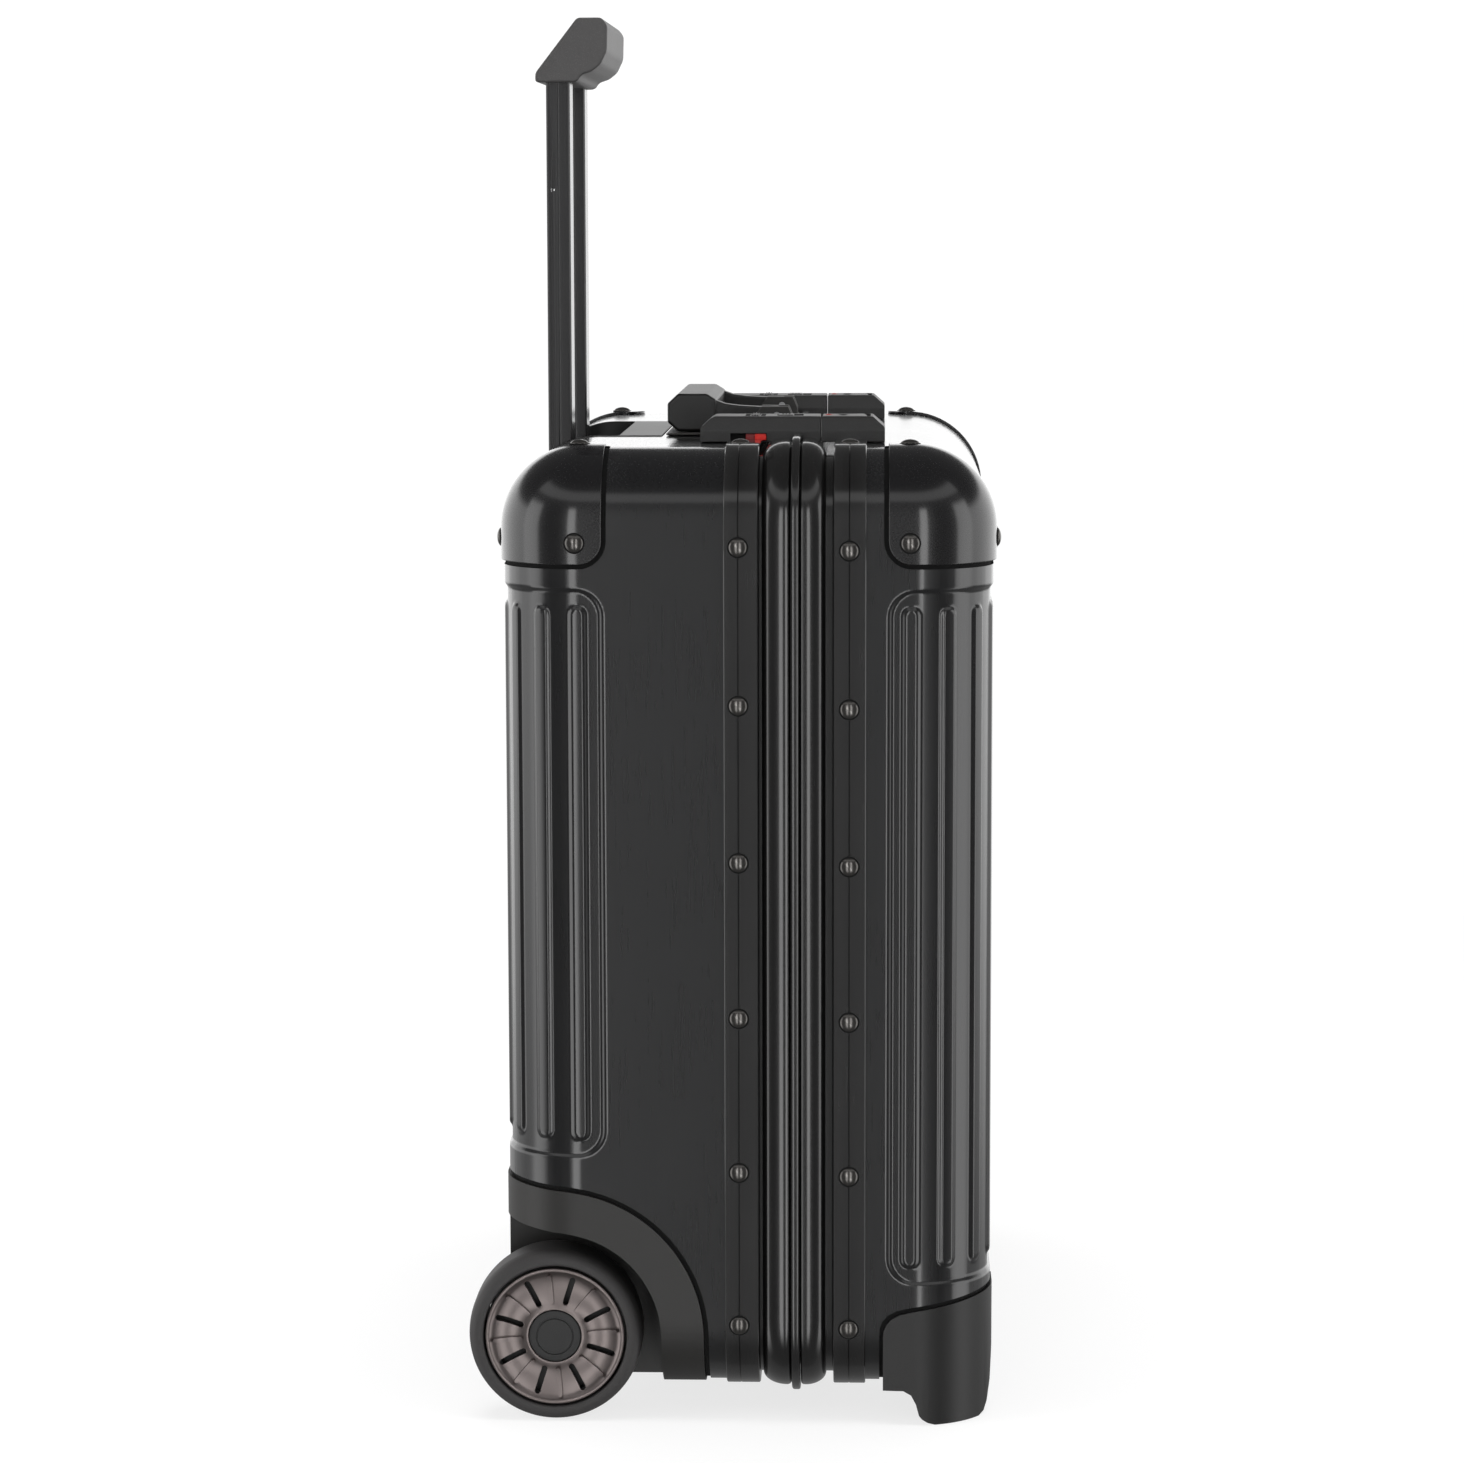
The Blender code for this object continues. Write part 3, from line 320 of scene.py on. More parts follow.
def skin(rim, end, offset, runs, heights, rounds, sink=None):
    """One half of the case as an open sheet.

    runs are distances along the skin from where the upright corner begins, up to the middle of the
    end face. heights are the levels between the low and the high rounding, which have this many rows.
    sink tells how far in the sheet is pressed at a run and a height.
    """
    way = 1.0 if end > rim else -1.0
    flat_y = end - way * CORNER
    columns = []
    for run in runs:
        if run <= 0:
            columns.append((FLAT_X, flat_y + way * run, 1.0, 0.0, run))
        elif run <= QUARTER:
            a = run / CORNER
            columns.append((FLAT_X, flat_y, math.cos(a), way * math.sin(a), run))
        else:
            columns.append((FLAT_X - (run - QUARTER), flat_y, 0.0, way, run))
    columns += [(-x, y, -nx, ny, run) for x, y, nx, ny, run in reversed(columns[:-1])]
    cx, cy, nx, ny, at = [np.array(c)[None, :] for c in zip(*columns)]
    steps = [math.pi / 2 * i / rounds for i in range(rounds + 1)]
    rows = [(BOTTOM + CORNER, -a) for a in reversed(steps[1:])]
    rows += [(z, 0.0) for z in heights]
    rows += [(TOP - CORNER, a) for a in steps[1:]]
    z0, turn = [np.array(r)[:, None] for r in zip(*rows)]
    reach = np.full((len(rows), len(columns)), CORNER + offset)
    if sink is not None:
        reach = reach - np.where(turn == 0.0, sink(at + 0 * z0, z0 + 0 * at), 0.0)
    x = cx + reach * np.cos(turn) * nx
    y = cy + reach * np.cos(turn) * ny
    z = z0 + reach * np.sin(turn) + 0 * cx
    verts = list(zip(x.ravel().tolist(), y.ravel().tolist(), z.ravel().tolist()))
    wide = len(columns)
    faces = []
    for r in range(len(rows) - 1):
        for c in range(wide - 1):
            a = r * wide + c
            faces.append((a, a + 1, a + wide + 1, a + wide))
    sides = [flat_y + way * run for run in runs if run <= 0]
    half_xs = [FLAT_X] + [FLAT_X - (run - QUARTER) for run in runs if run > QUARTER]
    xs = half_xs + [-v for v in reversed(half_xs[:-1])]
    for level in (TOP + offset, BOTTOM - offset):
        first = len(verts)
        verts += [(v, s, level) for s in sides for v in xs]
        for r in range(len(sides) - 1):
            for c in range(len(xs) - 1):
                a = first + r * len(xs) + c
                faces.append((a, a + 1, a + len(xs) + 1, a + len(xs)))
    mesh = bpy.data.meshes.new("skin")
    mesh.from_pydata(verts, [], faces)
    bm = bmesh.new()
    bm.from_mesh(mesh)
    bpy.data.meshes.remove(mesh)
    bmesh.ops.remove_doubles(bm, verts=bm.verts, dist=2e-6)
    bmesh.ops.dissolve_degenerate(bm, edges=bm.edges, dist=1e-7)
    return bm


def plain_runs(rim, end, side_step, arc_step, face_step):
    """Runs for a half without a panel."""
    side = spaced(-(abs(end - rim) - CORNER), 0.0, side_step)
    return side + spaced(0.0, QUARTER, arc_step)[1:] + spaced(QUARTER, QUARTER + FLAT_X, face_step)[1:]


def case_solid(rim, end, offset):
    """One half of the case as a closed solid."""
    runs = plain_runs(rim, end, 0.05, QUARTER / 24, 0.4)
    bm = skin(rim, end, offset, runs, [BOTTOM + CORNER, TOP - CORNER], ROUND_STEPS)
    bmesh.ops.holes_fill(bm, edges=[e for e in bm.edges if e.is_boundary])
    return make_object("case_solid", bm)


def smoothstep(low, high, value):
    """0 below the low value, 1 above the high one, and smooth between."""
    t = np.clip((value - low) / (high - low), 0.0, 1.0)
    return t * t * (3.0 - 2.0 * t)


def panel_sink(panel):
    """How far a ribbed panel presses the sheet in."""
    start, low, high, first, spaces = panel
    pitch = (QUARTER + FLAT_X - first) / spaces

    def sink(run, z):
        inside_run = run - start
        inside_z = np.minimum(z - low, high - z)
        corner = PANEL_CORNER - np.hypot(PANEL_CORNER - inside_run, PANEL_CORNER - inside_z)
        near = (inside_run < PANEL_CORNER) & (inside_z < PANEL_CORNER)
        inside = np.where(near, corner, np.minimum(inside_run, inside_z))
        k = np.maximum(0, np.round((run - first) / pitch))
        across = run - (first + k * pitch)
        along = np.maximum(0.0, np.maximum(low + RIB_INSET + RIB_FOOT - z, z - (high - RIB_INSET - RIB_FOOT)))
        rise = 1.0 - smoothstep(RIB_TOP, RIB_FOOT, np.hypot(across, along))
        return PANEL_DEPTH * np.clip(smoothstep(0.0, PANEL_SLOPE, inside) - rise, 0.0, 1.0)

    return sink, pitch


def shell_skin(rim, end, panel):
    """The drawn sheet of one half with its ribbed panel, at the real thickness."""
    start, low, high, first, spaces = panel
    sink, pitch = panel_sink(panel)
    middle = QUARTER + FLAT_X
    runs = spaced(-(abs(end - rim) - CORNER), start - 0.001, 0.012)
    runs += spaced(start - 0.001, first + RIB_FOOT, FINE)
    offsets = (0.0, 0.0017, 0.0023, 0.0029, 0.0035, 0.0041, 0.0047, 0.0053, pitch / 2)
    for k in range(spaces + 1):
        runs += [first + k * pitch + s * o for o in offsets for s in (1, -1)]
    runs = [r for r in runs if r < middle]
    runs = thinned(runs, (-(abs(end - rim) - CORNER), 0.0, QUARTER, middle), 0.0004)
    inner = RIB_INSET + RIB_FOOT + 0.0012
    heights = spaced(BOTTOM + CORNER, low - FINE, 0.02) + spaced(low - FINE, low + inner, FINE)
    heights += spaced(low + inner, high - inner, 0.03) + spaced(high - inner, high + FINE, FINE)
    heights += spaced(high + FINE, TOP - CORNER, 0.02)
    heights = thinned(heights, (BOTTOM + CORNER, TOP - CORNER), 0.0004)
    bm = skin(rim, end, 0.0, runs, heights, 14, sink)
    obj = make_object("shell", bm)
    outward = sum(p.normal.dot(p.center - Vector((0.0, rim, TOP / 2))) for p in obj.data.polygons[:200])
    if outward < 0:
        obj.data.flip_normals()
    sheet = obj.modifiers.new("sheet", "SOLIDIFY")
    sheet.thickness = SHEET
    sheet.offset = -1.0
    return bake(obj)


def ring(profile):
    """A closed (y, distance outwards) section carried around the case's rounded outline."""
    low, high = BOTTOM + CORNER, TOP - CORNER
    spots = []
    for cx, cz, start in ((FLAT_X, high, 0), (-FLAT_X, high, 90), (-FLAT_X, low, 180), (FLAT_X, low, 270)):
        for k in range(ROUND_STEPS + 1):
            a = math.radians(start + 90 * k / ROUND_STEPS)
            spots.append((cx, cz, math.cos(a), math.sin(a)))
    bm = bmesh.new()
    loops = []
    for cx, cz, nx, nz in spots:
        loops.append([bm.verts.new((cx + (CORNER + o) * nx, y, cz + (CORNER + o) * nz)) for y, o in profile])
    for k, near in enumerate(loops):
        far = loops[(k + 1) % len(loops)]
        for i in range(len(profile)):
            j = (i + 1) % len(profile)
            bm.faces.new((near[i], near[j], far[j], far[i]))
    return make_object("ring", bm)


# ---------------------------------------------------------------- finishes

COAT_ROUGHNESS = 0.09
SHEEN_ROUGHNESS = 0.45
SLOW_SCALE = 22.0
FLECK_SCALE = 1400.0
THREAD_SCALE = 260.0


def feed(tree, node, inputs):
    """Sets a node's inputs, each from a level or from a socket to link."""
    for place_in, value in inputs.items():
        if isinstance(value, bpy.types.NodeSocket):
            tree.links.new(value, node.inputs[place_in])
        else:
            node.inputs[place_in].default_value = value


def add_node(tree, kind, inputs=None, **settings):
    """A new shader node with these settings and inputs."""
    node = tree.nodes.new(f"ShaderNode{kind}")
    for name, value in settings.items():
        setattr(node, name, value)
    feed(tree, node, inputs or {})
    return node


def calculated(tree, operation, *values):
    """The result of a maths node, fed with sockets or levels."""
    return add_node(tree, "Math", dict(enumerate(values)), operation=operation).outputs["Value"]


def mapped(tree, value, **ends):
    """A value carried from one range to another."""
    inputs = {name.replace("_", " ").title(): level for name, level in ends.items()}
    return add_node(tree, "MapRange", {"Value": value, **inputs}).outputs["Result"]


def chosen(tree, factor, first, second, kind="FLOAT"):
    """A blend of two levels or colours."""
    return add_node(tree, "Mix", {"Factor": factor, "A": first, "B": second}, data_type=kind).outputs["Result"]


def scaled(colour, factor, lift=0.0):
    """The colour, made brighter or darker."""
    return (*[min(1.0, c * factor + lift) for c in colour], 1.0)


def finish(name, colour, metallic, roughness, grain, bump, stretch=(1, 1, 1), vary=0.25, rough_vary=0.06,
           edge_wear_and_highlight=0.0, coat=0.0, sheen=0.0, speckle=0.0):
    """A procedural finish: fine grain in its bump and roughness, a slow colour change, wear and a painted
    highlight on edges.
    """
    made = bpy.data.materials.new(name)
    made.use_nodes = True
    tree = made.node_tree
    where = add_node(tree, "TexCoord").outputs["Object"]
    drawn = add_node(tree, "Mapping", {"Vector": where, "Scale": stretch}).outputs["Vector"]
    fine = add_node(tree, "TexNoise", {"Vector": drawn, "Scale": grain, "Detail": 4.0}).outputs["Fac"]
    slow = add_node(tree, "TexNoise", {"Vector": where, "Scale": SLOW_SCALE, "Detail": 3.0}).outputs["Fac"]
    both = calculated(tree, "MULTIPLY_ADD", fine, 0.6, calculated(tree, "MULTIPLY", slow, 0.4))
    rough = mapped(tree, both, to_min=roughness - rough_vary, to_max=roughness + rough_vary)
    tone = chosen(tree, both, scaled(colour, 1 - vary), scaled(colour, 1 + vary), "RGBA")
    if speckle:
        dots = add_node(tree, "TexVoronoi", {"Vector": where, "Scale": FLECK_SCALE}).outputs["Distance"]
        spot = mapped(tree, dots, from_min=0.26, from_max=0.12, to_max=speckle)
        tone = chosen(tree, spot, tone, scaled(colour, 3, 0.05), "RGBA")
    # Pointiness lightens the convex edges: partly wear, partly a painted highlight.
    if edge_wear_and_highlight:
        edge = add_node(tree, "NewGeometry").outputs["Pointiness"]
        worn_and_highlit = mapped(tree, edge, from_min=0.53, from_max=0.66, to_max=edge_wear_and_highlight)
        tone = chosen(tree, worn_and_highlit, tone, scaled(colour, 2.2, 0.04), "RGBA")
    relief = add_node(tree, "Bump", {"Strength": min(1.0, bump * 10), "Distance": 0.0001, "Height": fine})
    feed(tree, tree.nodes["Principled BSDF"], {
        "Base Color": tone, "Metallic": metallic, "Roughness": rough, "Normal": relief.outputs["Normal"],
        "Coat Weight": coat, "Coat Roughness": COAT_ROUGHNESS, "Sheen Weight": sheen,
        "Sheen Roughness": SHEEN_ROUGHNESS})
    return made


def cloth(name, colour):
    """Woven lining fabric: two crossed sets of threads, soft sheen and a slow change of tone."""
    made = finish(name, colour, 0.0, 0.85, 420.0, 0.03, vary=0.35, sheen=0.35)
    tree = made.node_tree
    where = add_node(tree, "TexCoord").outputs["Object"]
    threads = []
    for turn in (0.785, -0.785):
        side = add_node(tree, "Mapping", {"Vector": where, "Rotation": (0.6, 0.4, turn)})
        wave = add_node(tree, "TexWave", {"Vector": side.outputs["Vector"], "Scale": THREAD_SCALE,
                                          "Distortion": 0.6, "Detail": 1.0})
        threads.append(wave.outputs["Fac"])
    weave = calculated(tree, "MAXIMUM", *threads)
    relief = add_node(tree, "Bump", {"Strength": 0.55, "Distance": 0.0004, "Height": weave})
    feed(tree, tree.nodes["Principled BSDF"], {"Normal": relief.outputs["Normal"]})
    return made


SHELL = finish("satin_black_aluminium", (0.0046, 0.0046, 0.0051), 0.10, 0.28, 700.0, 0.006,
               stretch=(1, 1, 0.04), vary=0.3, rough_vary=0.04, edge_wear_and_highlight=0.2, coat=0.85)
FRAME = finish("black_anodised_extrusion", (0.0048, 0.0046, 0.0046), 0.10, 0.26, 900.0, 0.006,
               stretch=(1, 1, 0.05), vary=0.3, rough_vary=0.04, edge_wear_and_highlight=0.3, coat=0.85)
RIVET = finish("dark_rivet_metal", (0.11, 0.105, 0.10), 0.9, 0.20, 1200.0, 0.006, vary=0.2, rough_vary=0.04,
               edge_wear_and_highlight=0.4)
CAP = finish("satin_black_cap", (0.0044, 0.0042, 0.0047), 0.10, 0.27, 1100.0, 0.006, vary=0.2,
             rough_vary=0.04, coat=0.85)
PLASTIC = finish("charcoal_moulding", (0.0165, 0.0158, 0.0148), 0.0, 0.46, 1500.0, 0.04, vary=0.2)
FOOT = finish("black_foot_moulding", (0.0070, 0.0068, 0.0067), 0.0, 0.42, 1500.0, 0.03, vary=0.2)
GRIP = finish("grained_handle_plastic", (0.046, 0.0445, 0.0445), 0.0, 0.46, 1700.0, 0.07, vary=0.3,
              speckle=0.25)
CARRY = finish("satin_handle_plastic", (0.0060, 0.0058, 0.0058), 0.0, 0.36, 1500.0, 0.03, vary=0.2,
               rough_vary=0.05)
LOCK = finish("lock_plastic", (0.0125, 0.0122, 0.0122), 0.0, 0.40, 1600.0, 0.04, speckle=0.2)
RED = finish("bright_indicator", (0.72, 0.020, 0.012), 0.0, 0.35, 900.0, 0.01, vary=0.1)
DARK_RED = finish("dark_indicator", (0.20, 0.010, 0.010), 0.0, 0.38, 900.0, 0.01, vary=0.1)
RUBBER = finish("tyre_rubber", (0.034, 0.0322, 0.0322), 0.0, 0.60, 1300.0, 0.08, vary=0.3, rough_vary=0.07,
                edge_wear_and_highlight=0.2)
SEAL = finish("seal_rubber", (0.016, 0.016, 0.016), 0.0, 0.7, 1300.0, 0.05)
DISC = finish("gunmetal_disc", (0.20, 0.172, 0.166), 0.95, 0.33, 1500.0, 0.004, vary=0.08, rough_vary=0.02)
HUB = finish("hub_moulding", (0.0085, 0.0085, 0.0086), 0.0, 0.46, 1500.0, 0.05, rough_vary=0.05)
TUBE = finish("anodised_tube", (0.012, 0.0118, 0.0124), 0.35, 0.24, 900.0, 0.008, stretch=(1, 1, 0.03),
              vary=0.3, rough_vary=0.04, edge_wear_and_highlight=0.4, coat=0.3)
STEEL = finish("plain_steel", (0.50, 0.50, 0.51), 1.0, 0.30, 900.0, 0.02, vary=0.15)
LINING = cloth("woven_lining", (0.045, 0.047, 0.052))
# Painted shade: a near-black finish put on the faces of grooves, gaps and recesses to stand in for the shade in
# them.
SHADE = finish("painted_shade_recess", (0.0025, 0.0025, 0.0025), 0.0, 0.95, 900.0, 0.02)


# ---------------------------------------------------------------- shells, caps, housings and feet

CAP_REACH = 0.0478
CAP_LOW = 0.3882
CAP_CORNER = 0.0105
CAP_PROUD = 0.0015
CAP_RIVET_Z = 0.3978
RIVET_RADIUS = 0.0041
RIVET_HEIGHT = 0.0019
RIVET_RING = 0.0006
RIVET_DOME = ((0.99, 0.20), (0.96, 0.33), (0.90, 0.44), (0.76, 0.64), (0.56, 0.82), (0.32, 0.94), (0.10, 1.0))
CAP_GAP = 0.0020
SEAT_DEPTH = 0.0009
CAPS = {"back": (0.0, BACK, 0.0574, 0.0693), "front": (LID_RIM, FRONT, -0.0688, -0.0783)}

HOUSING_INNER = 0.1450
HOUSING_RADIUS = 0.0673
WELL_RADIUS = 0.0482
HOUSING_WALL = 0.0025
HOUSING_PROUD = 0.0009
HOUSING_GAP = 0.0022
AXLE_BORE = 0.0043
WHEEL = WHEEL_Y, WHEEL_Z = middle_of("tyre_right", 1), middle_of("tyre_right", 2)
ARCH_STEPS = 40

FOOT_BACK = -0.0670
FOOT_INNER = 0.138
FOOT_PROUD = 0.0009
FOOT_GAP = 0.0016

TRAY_HALF = 0.0665
TRAY_Y = (0.0370, 0.1000)
TRAY_RECESS_Y = (0.0572, 0.0985)
TRAY_FLOOR = 0.4060


def cap_block(inner_y, end, grown):
    """The region of the right-hand corner cap, with its three inner edges rounded."""
    way = 1.0 if end > inner_y else -1.0
    near, far = inner_y - way * grown, end + way * 0.01
    low = Vector((HALF - CAP_REACH - grown, min(near, far), CAP_LOW - grown))
    high = Vector((HALF + 0.01, max(near, far), TOP + 0.01))
    bm = bmesh.new()
    bmesh.ops.create_cube(bm, size=1.0)
    bmesh.ops.scale(bm, vec=high - low, verts=bm.verts)
    bmesh.ops.translate(bm, vec=(low + high) / 2, verts=bm.verts)
    corner = Vector((low.x, near, low.z))
    meeting = [e for e in bm.edges if any((v.co - corner).length < 1e-6 for v in e.verts)]
    bmesh.ops.bevel(bm, geom=meeting, offset=CAP_CORNER + grown, segments=10, profile=0.5, affect="EDGES")
    return make_object("cap_block", bm)


def rivet(spot, facing, radius=RIVET_RADIUS, height=RIVET_HEIGHT, sides=28):
    """A domed rivet head that stands out of the surface at the spot, in a narrow ring painted near-black as shade.
    """
    bm = bmesh.new()
    rings = []
    profile = [(radius + RIVET_RING, -0.0006), (radius + RIVET_RING, 0.0001), (radius, 0.0002)]
    profile += [(radius * wide, height * high) for wide, high in RIVET_DOME]
    turns = [2 * math.pi * k / sides for k in range(sides)]
    for r, h in profile:
        rings.append([bm.verts.new((r * math.cos(a), r * math.sin(a), h)) for a in turns])
    for row, (near, far) in enumerate(zip(rings, rings[1:])):
        for k in range(sides):
            face = bm.faces.new((near[k], near[(k + 1) % sides], far[(k + 1) % sides], far[k]))
            # The two rows of the ring round the head, and the underside, are painted shade.
            face.material_index = 1 if row < 2 else 0
    bm.faces.new(rings[-1])
    bm.faces.new(list(reversed(rings[0]))).material_index = 1
    turn = Vector(facing).to_track_quat("Z", "Y").to_matrix().to_4x4()
    bmesh.ops.transform(bm, matrix=Matrix.Translation(spot) @ turn, verts=bm.verts)
    made = make_object("rivet", bm, 45)
    made.data.materials.append(RIVET)
    made.data.materials.append(SHADE)
    return made


def corner_caps():
    """The four drawn corner caps, each with three rivet heads."""
    for word, (rim, end, inner_y, rivet_y) in CAPS.items():
        way = 1.0 if end > inner_y else -1.0
        cap = cap_block(inner_y, end, 0.0)
        cut(cap, case_solid(rim, end, CAP_PROUD), "INTERSECT")
        cut(cap, case_solid(rim, end, -SEAT_DEPTH + 0.00005))
        soft_edges(cap, 0.0005, 2, 50)
        paint(cap, CAP)
        middle_x = HALF - 0.037
        spots = (
            ((HALF + CAP_PROUD, rivet_y, CAP_RIVET_Z), (1, 0, 0)),
            ((middle_x, rivet_y, TOP + CAP_PROUD), (0, 0, 1)),
            ((middle_x, end + way * CAP_PROUD, CAP_RIVET_Z), (0, way, 0)),
        )
        heads = [rivet(spot, facing) for spot, facing in spots]
        both_sides(join("cap", [cap] + heads), f"corner_cap_{word}", None, "cap_aluminium")


def wheel_arch(radius, rise, floor):
    """The side outline of the wheel arch: round over the wheel, then level to the back."""
    outline = [(WHEEL_Y - radius, floor)]
    outline += arc(WHEEL, radius, 180, 90, ARCH_STEPS)
    return outline + [(BACK + 0.02, WHEEL_Z + radius + rise), (BACK + 0.02, floor)]


def wheel_housings():
    """The moulded housings let into the lower back corners."""
    housing = prism(wheel_arch(HOUSING_RADIUS, 0.0030, BOTTOM - 0.005), "X", HOUSING_INNER, HALF + 0.01)
    cut(housing, case_solid(0.0, BACK, HOUSING_PROUD), "INTERSECT")
    cut(housing, prism(wheel_arch(WELL_RADIUS, 0.0040, BOTTOM - 0.02), "X", HOUSING_INNER + HOUSING_WALL,
                       HALF + 0.02))
    hollow = prism(wheel_arch(HOUSING_RADIUS - HOUSING_WALL, 0.0030, BOTTOM + HOUSING_WALL), "X",
                   HOUSING_INNER - 0.01, HALF + 0.01)
    cut(hollow, case_solid(0.0, BACK, HOUSING_PROUD - HOUSING_WALL), "INTERSECT")
    cut(hollow, prism(wheel_arch(WELL_RADIUS + HOUSING_WALL, 0.0040, BOTTOM - 0.02), "X",
                      HOUSING_INNER - 0.02, HALF + 0.02))
    cut(housing, hollow)
    cut(housing, rod(AXLE_BORE, HOUSING_INNER - 0.02, HOUSING_INNER + 0.02, WHEEL, 32))
    soft_edges(housing, 0.0008, 2, 50)
    both_sides(housing, "wheel_housing", PLASTIC, "moulded_plastic")


def foot_outline(grown=0.0):
    """A foot seen from the side."""
    top = [(FOOT_BACK, 0.0162), (FOOT_BACK, 0.0400)]
    top += [(FOOT_BACK - 0.0002, 0.0432), (-0.0684, 0.0462), (-0.0708, 0.0490), (-0.0745, 0.0510),
            (-0.0804, 0.0524), (FRONT - 0.01, 0.0592)]
    top = [(y + grown, z + grown) for y, z in top]
    if grown:
        return top + [(FRONT - 0.02, top[-1][1]), (FRONT - 0.02, -0.02), (FOOT_BACK + grown, -0.02)]
    return top + [(FRONT - 0.01, 0.0300), (FRONT - 0.0009, 0.0300), (-0.1157, 0.0141), (-0.1143, 0.0054),
                  (-0.1128, 0.0016), (-0.1105, 0.0002), (-0.0905, 0.0002), (-0.0872, 0.0012), (-0.0847, 0.0028),
                  (-0.0833, 0.0045), (-0.0819, 0.0098), (-0.0797, 0.0140), (-0.0762, 0.0160)]


def feet():
    """The moulded feet that cover the lid's lower corners."""
    foot = prism(foot_outline(), "X", FOOT_INNER, HALF + 0.01)
    column = [(0.10, 0.0), (HALF + FOOT_PROUD, 0.0)]
    column += arc((FLAT_X, FRONT + CORNER), CORNER + FOOT_PROUD, 0, -90, 24)
    column += [(0.10, FRONT - FOOT_PROUD)]
    cut(foot, prism(column, "Z", -0.01, 0.10), "INTERSECT")
    cut(foot, case_solid(LID_RIM, FRONT, -SEAT_DEPTH + 0.00005))
    soft_edges(foot, 0.0010, 3, 40)
    both_sides(foot, "foot_front", FOOT, "moulded_plastic")


def shells():
    """The two drawn halves, pressed in under the caps and feet and open at the wheels and the tray; the faces the
    cuts leave in the gaps round the caps, feet and wheel housings are painted near-black as shade.
    """
    base = shell_skin(BASE_RIM, BACK, BACK_PANEL)
    lid = shell_skin(LID_RIM, FRONT, FRONT_PANEL)
    for shell, word in ((base, "back"), (lid, "front")):
        rim, end, inner_y, _ = CAPS[word]
        paint(shell, SHELL)
        # The seat is painted shade, so the gap it leaves round the cap reads black.
        seat = paint(cut(cap_block(inner_y, end, CAP_GAP), case_solid(rim, end, -SEAT_DEPTH)), SHADE)
        cut(shell, [mirrored(seat), seat])
    arch = prism(wheel_arch(HOUSING_RADIUS + HOUSING_GAP, 0.0030, BOTTOM - 0.02), "X",
                 HOUSING_INNER - HOUSING_GAP, HALF + 0.02)
    # The gap round the wheel housing is painted shade.
    paint(cut(arch, case_solid(0.0, BACK, -SEAT_DEPTH)), SHADE)
    opening = prism(wheel_arch(HOUSING_RADIUS + 0.0002, 0.0030, BOTTOM - 0.02), "X",
                    HOUSING_INNER - 0.0002, HALF + 0.02)
    tray = block((-TRAY_HALF - 0.0003, TRAY_Y[0] - 0.0003, TRAY_FLOOR - 0.003),
                 (TRAY_HALF + 0.0003, TRAY_Y[1] + 0.0003, TOP + 0.01))
    for tool in (opening, tray):
        paint(tool, SHELL)
    cut(base, [mirrored(arch), arch, mirrored(opening), opening, tray])
    seat = cut(prism(foot_outline(FOOT_GAP), "X", FOOT_INNER - FOOT_GAP, HALF + 0.02),
               case_solid(LID_RIM, FRONT, -SEAT_DEPTH))
    # The gap round the foot is painted shade.
    paint(seat, SHADE)
    cut(lid, [mirrored(seat), seat])
    place(base, "base_shell", None, "shell_aluminium")
    place(lid, "lid_shell", None, "shell_aluminium")


# ---------------------------------------------------------------- frames and rivets

FLANGE = 0.0017
LIP = 0.0048
CHANNEL = -0.0037
FRAME_INNER = -0.0065
BASE_FLANGE_END = 0.0038
BASE_WEB = -0.0113
BASE_RIVET_Y = -0.0026
LID_FLANGE_END = -0.0590
LID_WEB = -0.0446
LID_RIVET_Y = -0.0516
LOCK_X = 0.108
LOCK_HALF = 0.015
LOCK_SEAT = TOP + 0.0001
RIVET_PITCH = 0.070
GROOVE = 0.0003
DOME = 0.0026
DOME_STEPS = 14
NOTCH_GAP = 0.0003
TOP_RIVET_X = 0.150


def flange(end, rivet_y, web, way):
    """An extrusion's flange, with the narrow V along the rivets, and the wall of its channel."""
    edge = 0.0004
    return [(end, 0.0002), (end, FLANGE - edge), (end - way * edge, FLANGE), (rivet_y + way * GROOVE, FLANGE),
            (rivet_y, FLANGE - GROOVE), (rivet_y - way * GROOVE, FLANGE), (web + way * edge, FLANGE),
            (web, FLANGE - edge), (web, CHANNEL + 0.0005), (web - way * edge, CHANNEL)]


def sheet_slot(end, depth_y):
    """The inside of an extrusion where it holds the sheet."""
    under, sheet = -0.0027, -SHEET - 0.0001
    return [(depth_y, -0.0053), (depth_y, under), (end, under), (end, sheet), (depth_y, sheet),
            (depth_y, 0.0002)]


def quarter_round(foot, top):
    """The domed flank of an extrusion, from its foot in the channel to its top."""
    made = []
    for k in range(DOME_STEPS + 1):
        a = math.pi / 2 * k / DOME_STEPS
        made.append((top + (foot - top) * math.cos(a), CHANNEL + (DOME - CHANNEL) * math.sin(a)))
    return made


def base_section():
    """The base extrusion from its flange over the channel and the bulge to the lip."""
    bulge = quarter_round(-0.0128, -0.0236) + [(-0.0248, 0.0023), (-0.0256, 0.0012)]
    lip = [(-0.0258, LIP - 0.0010), (-0.0261, LIP - 0.0003), (-0.0268, LIP), (PARTING + 0.0010, LIP),
           (PARTING + 0.0004, LIP - 0.0003), (PARTING + 0.0002, LIP - 0.0010)]
    inside = [(PARTING + 0.0002, FRAME_INNER), (-0.0280, FRAME_INNER), (-0.0280, -0.0010), (-0.0190, -0.0008),
              (-0.0160, -0.0016), (-0.0144, -0.0053)]
    return (flange(BASE_FLANGE_END, BASE_RIVET_Y, BASE_WEB, 1) + bulge + lip + inside
            + sheet_slot(BASE_FLANGE_END, -0.0098))


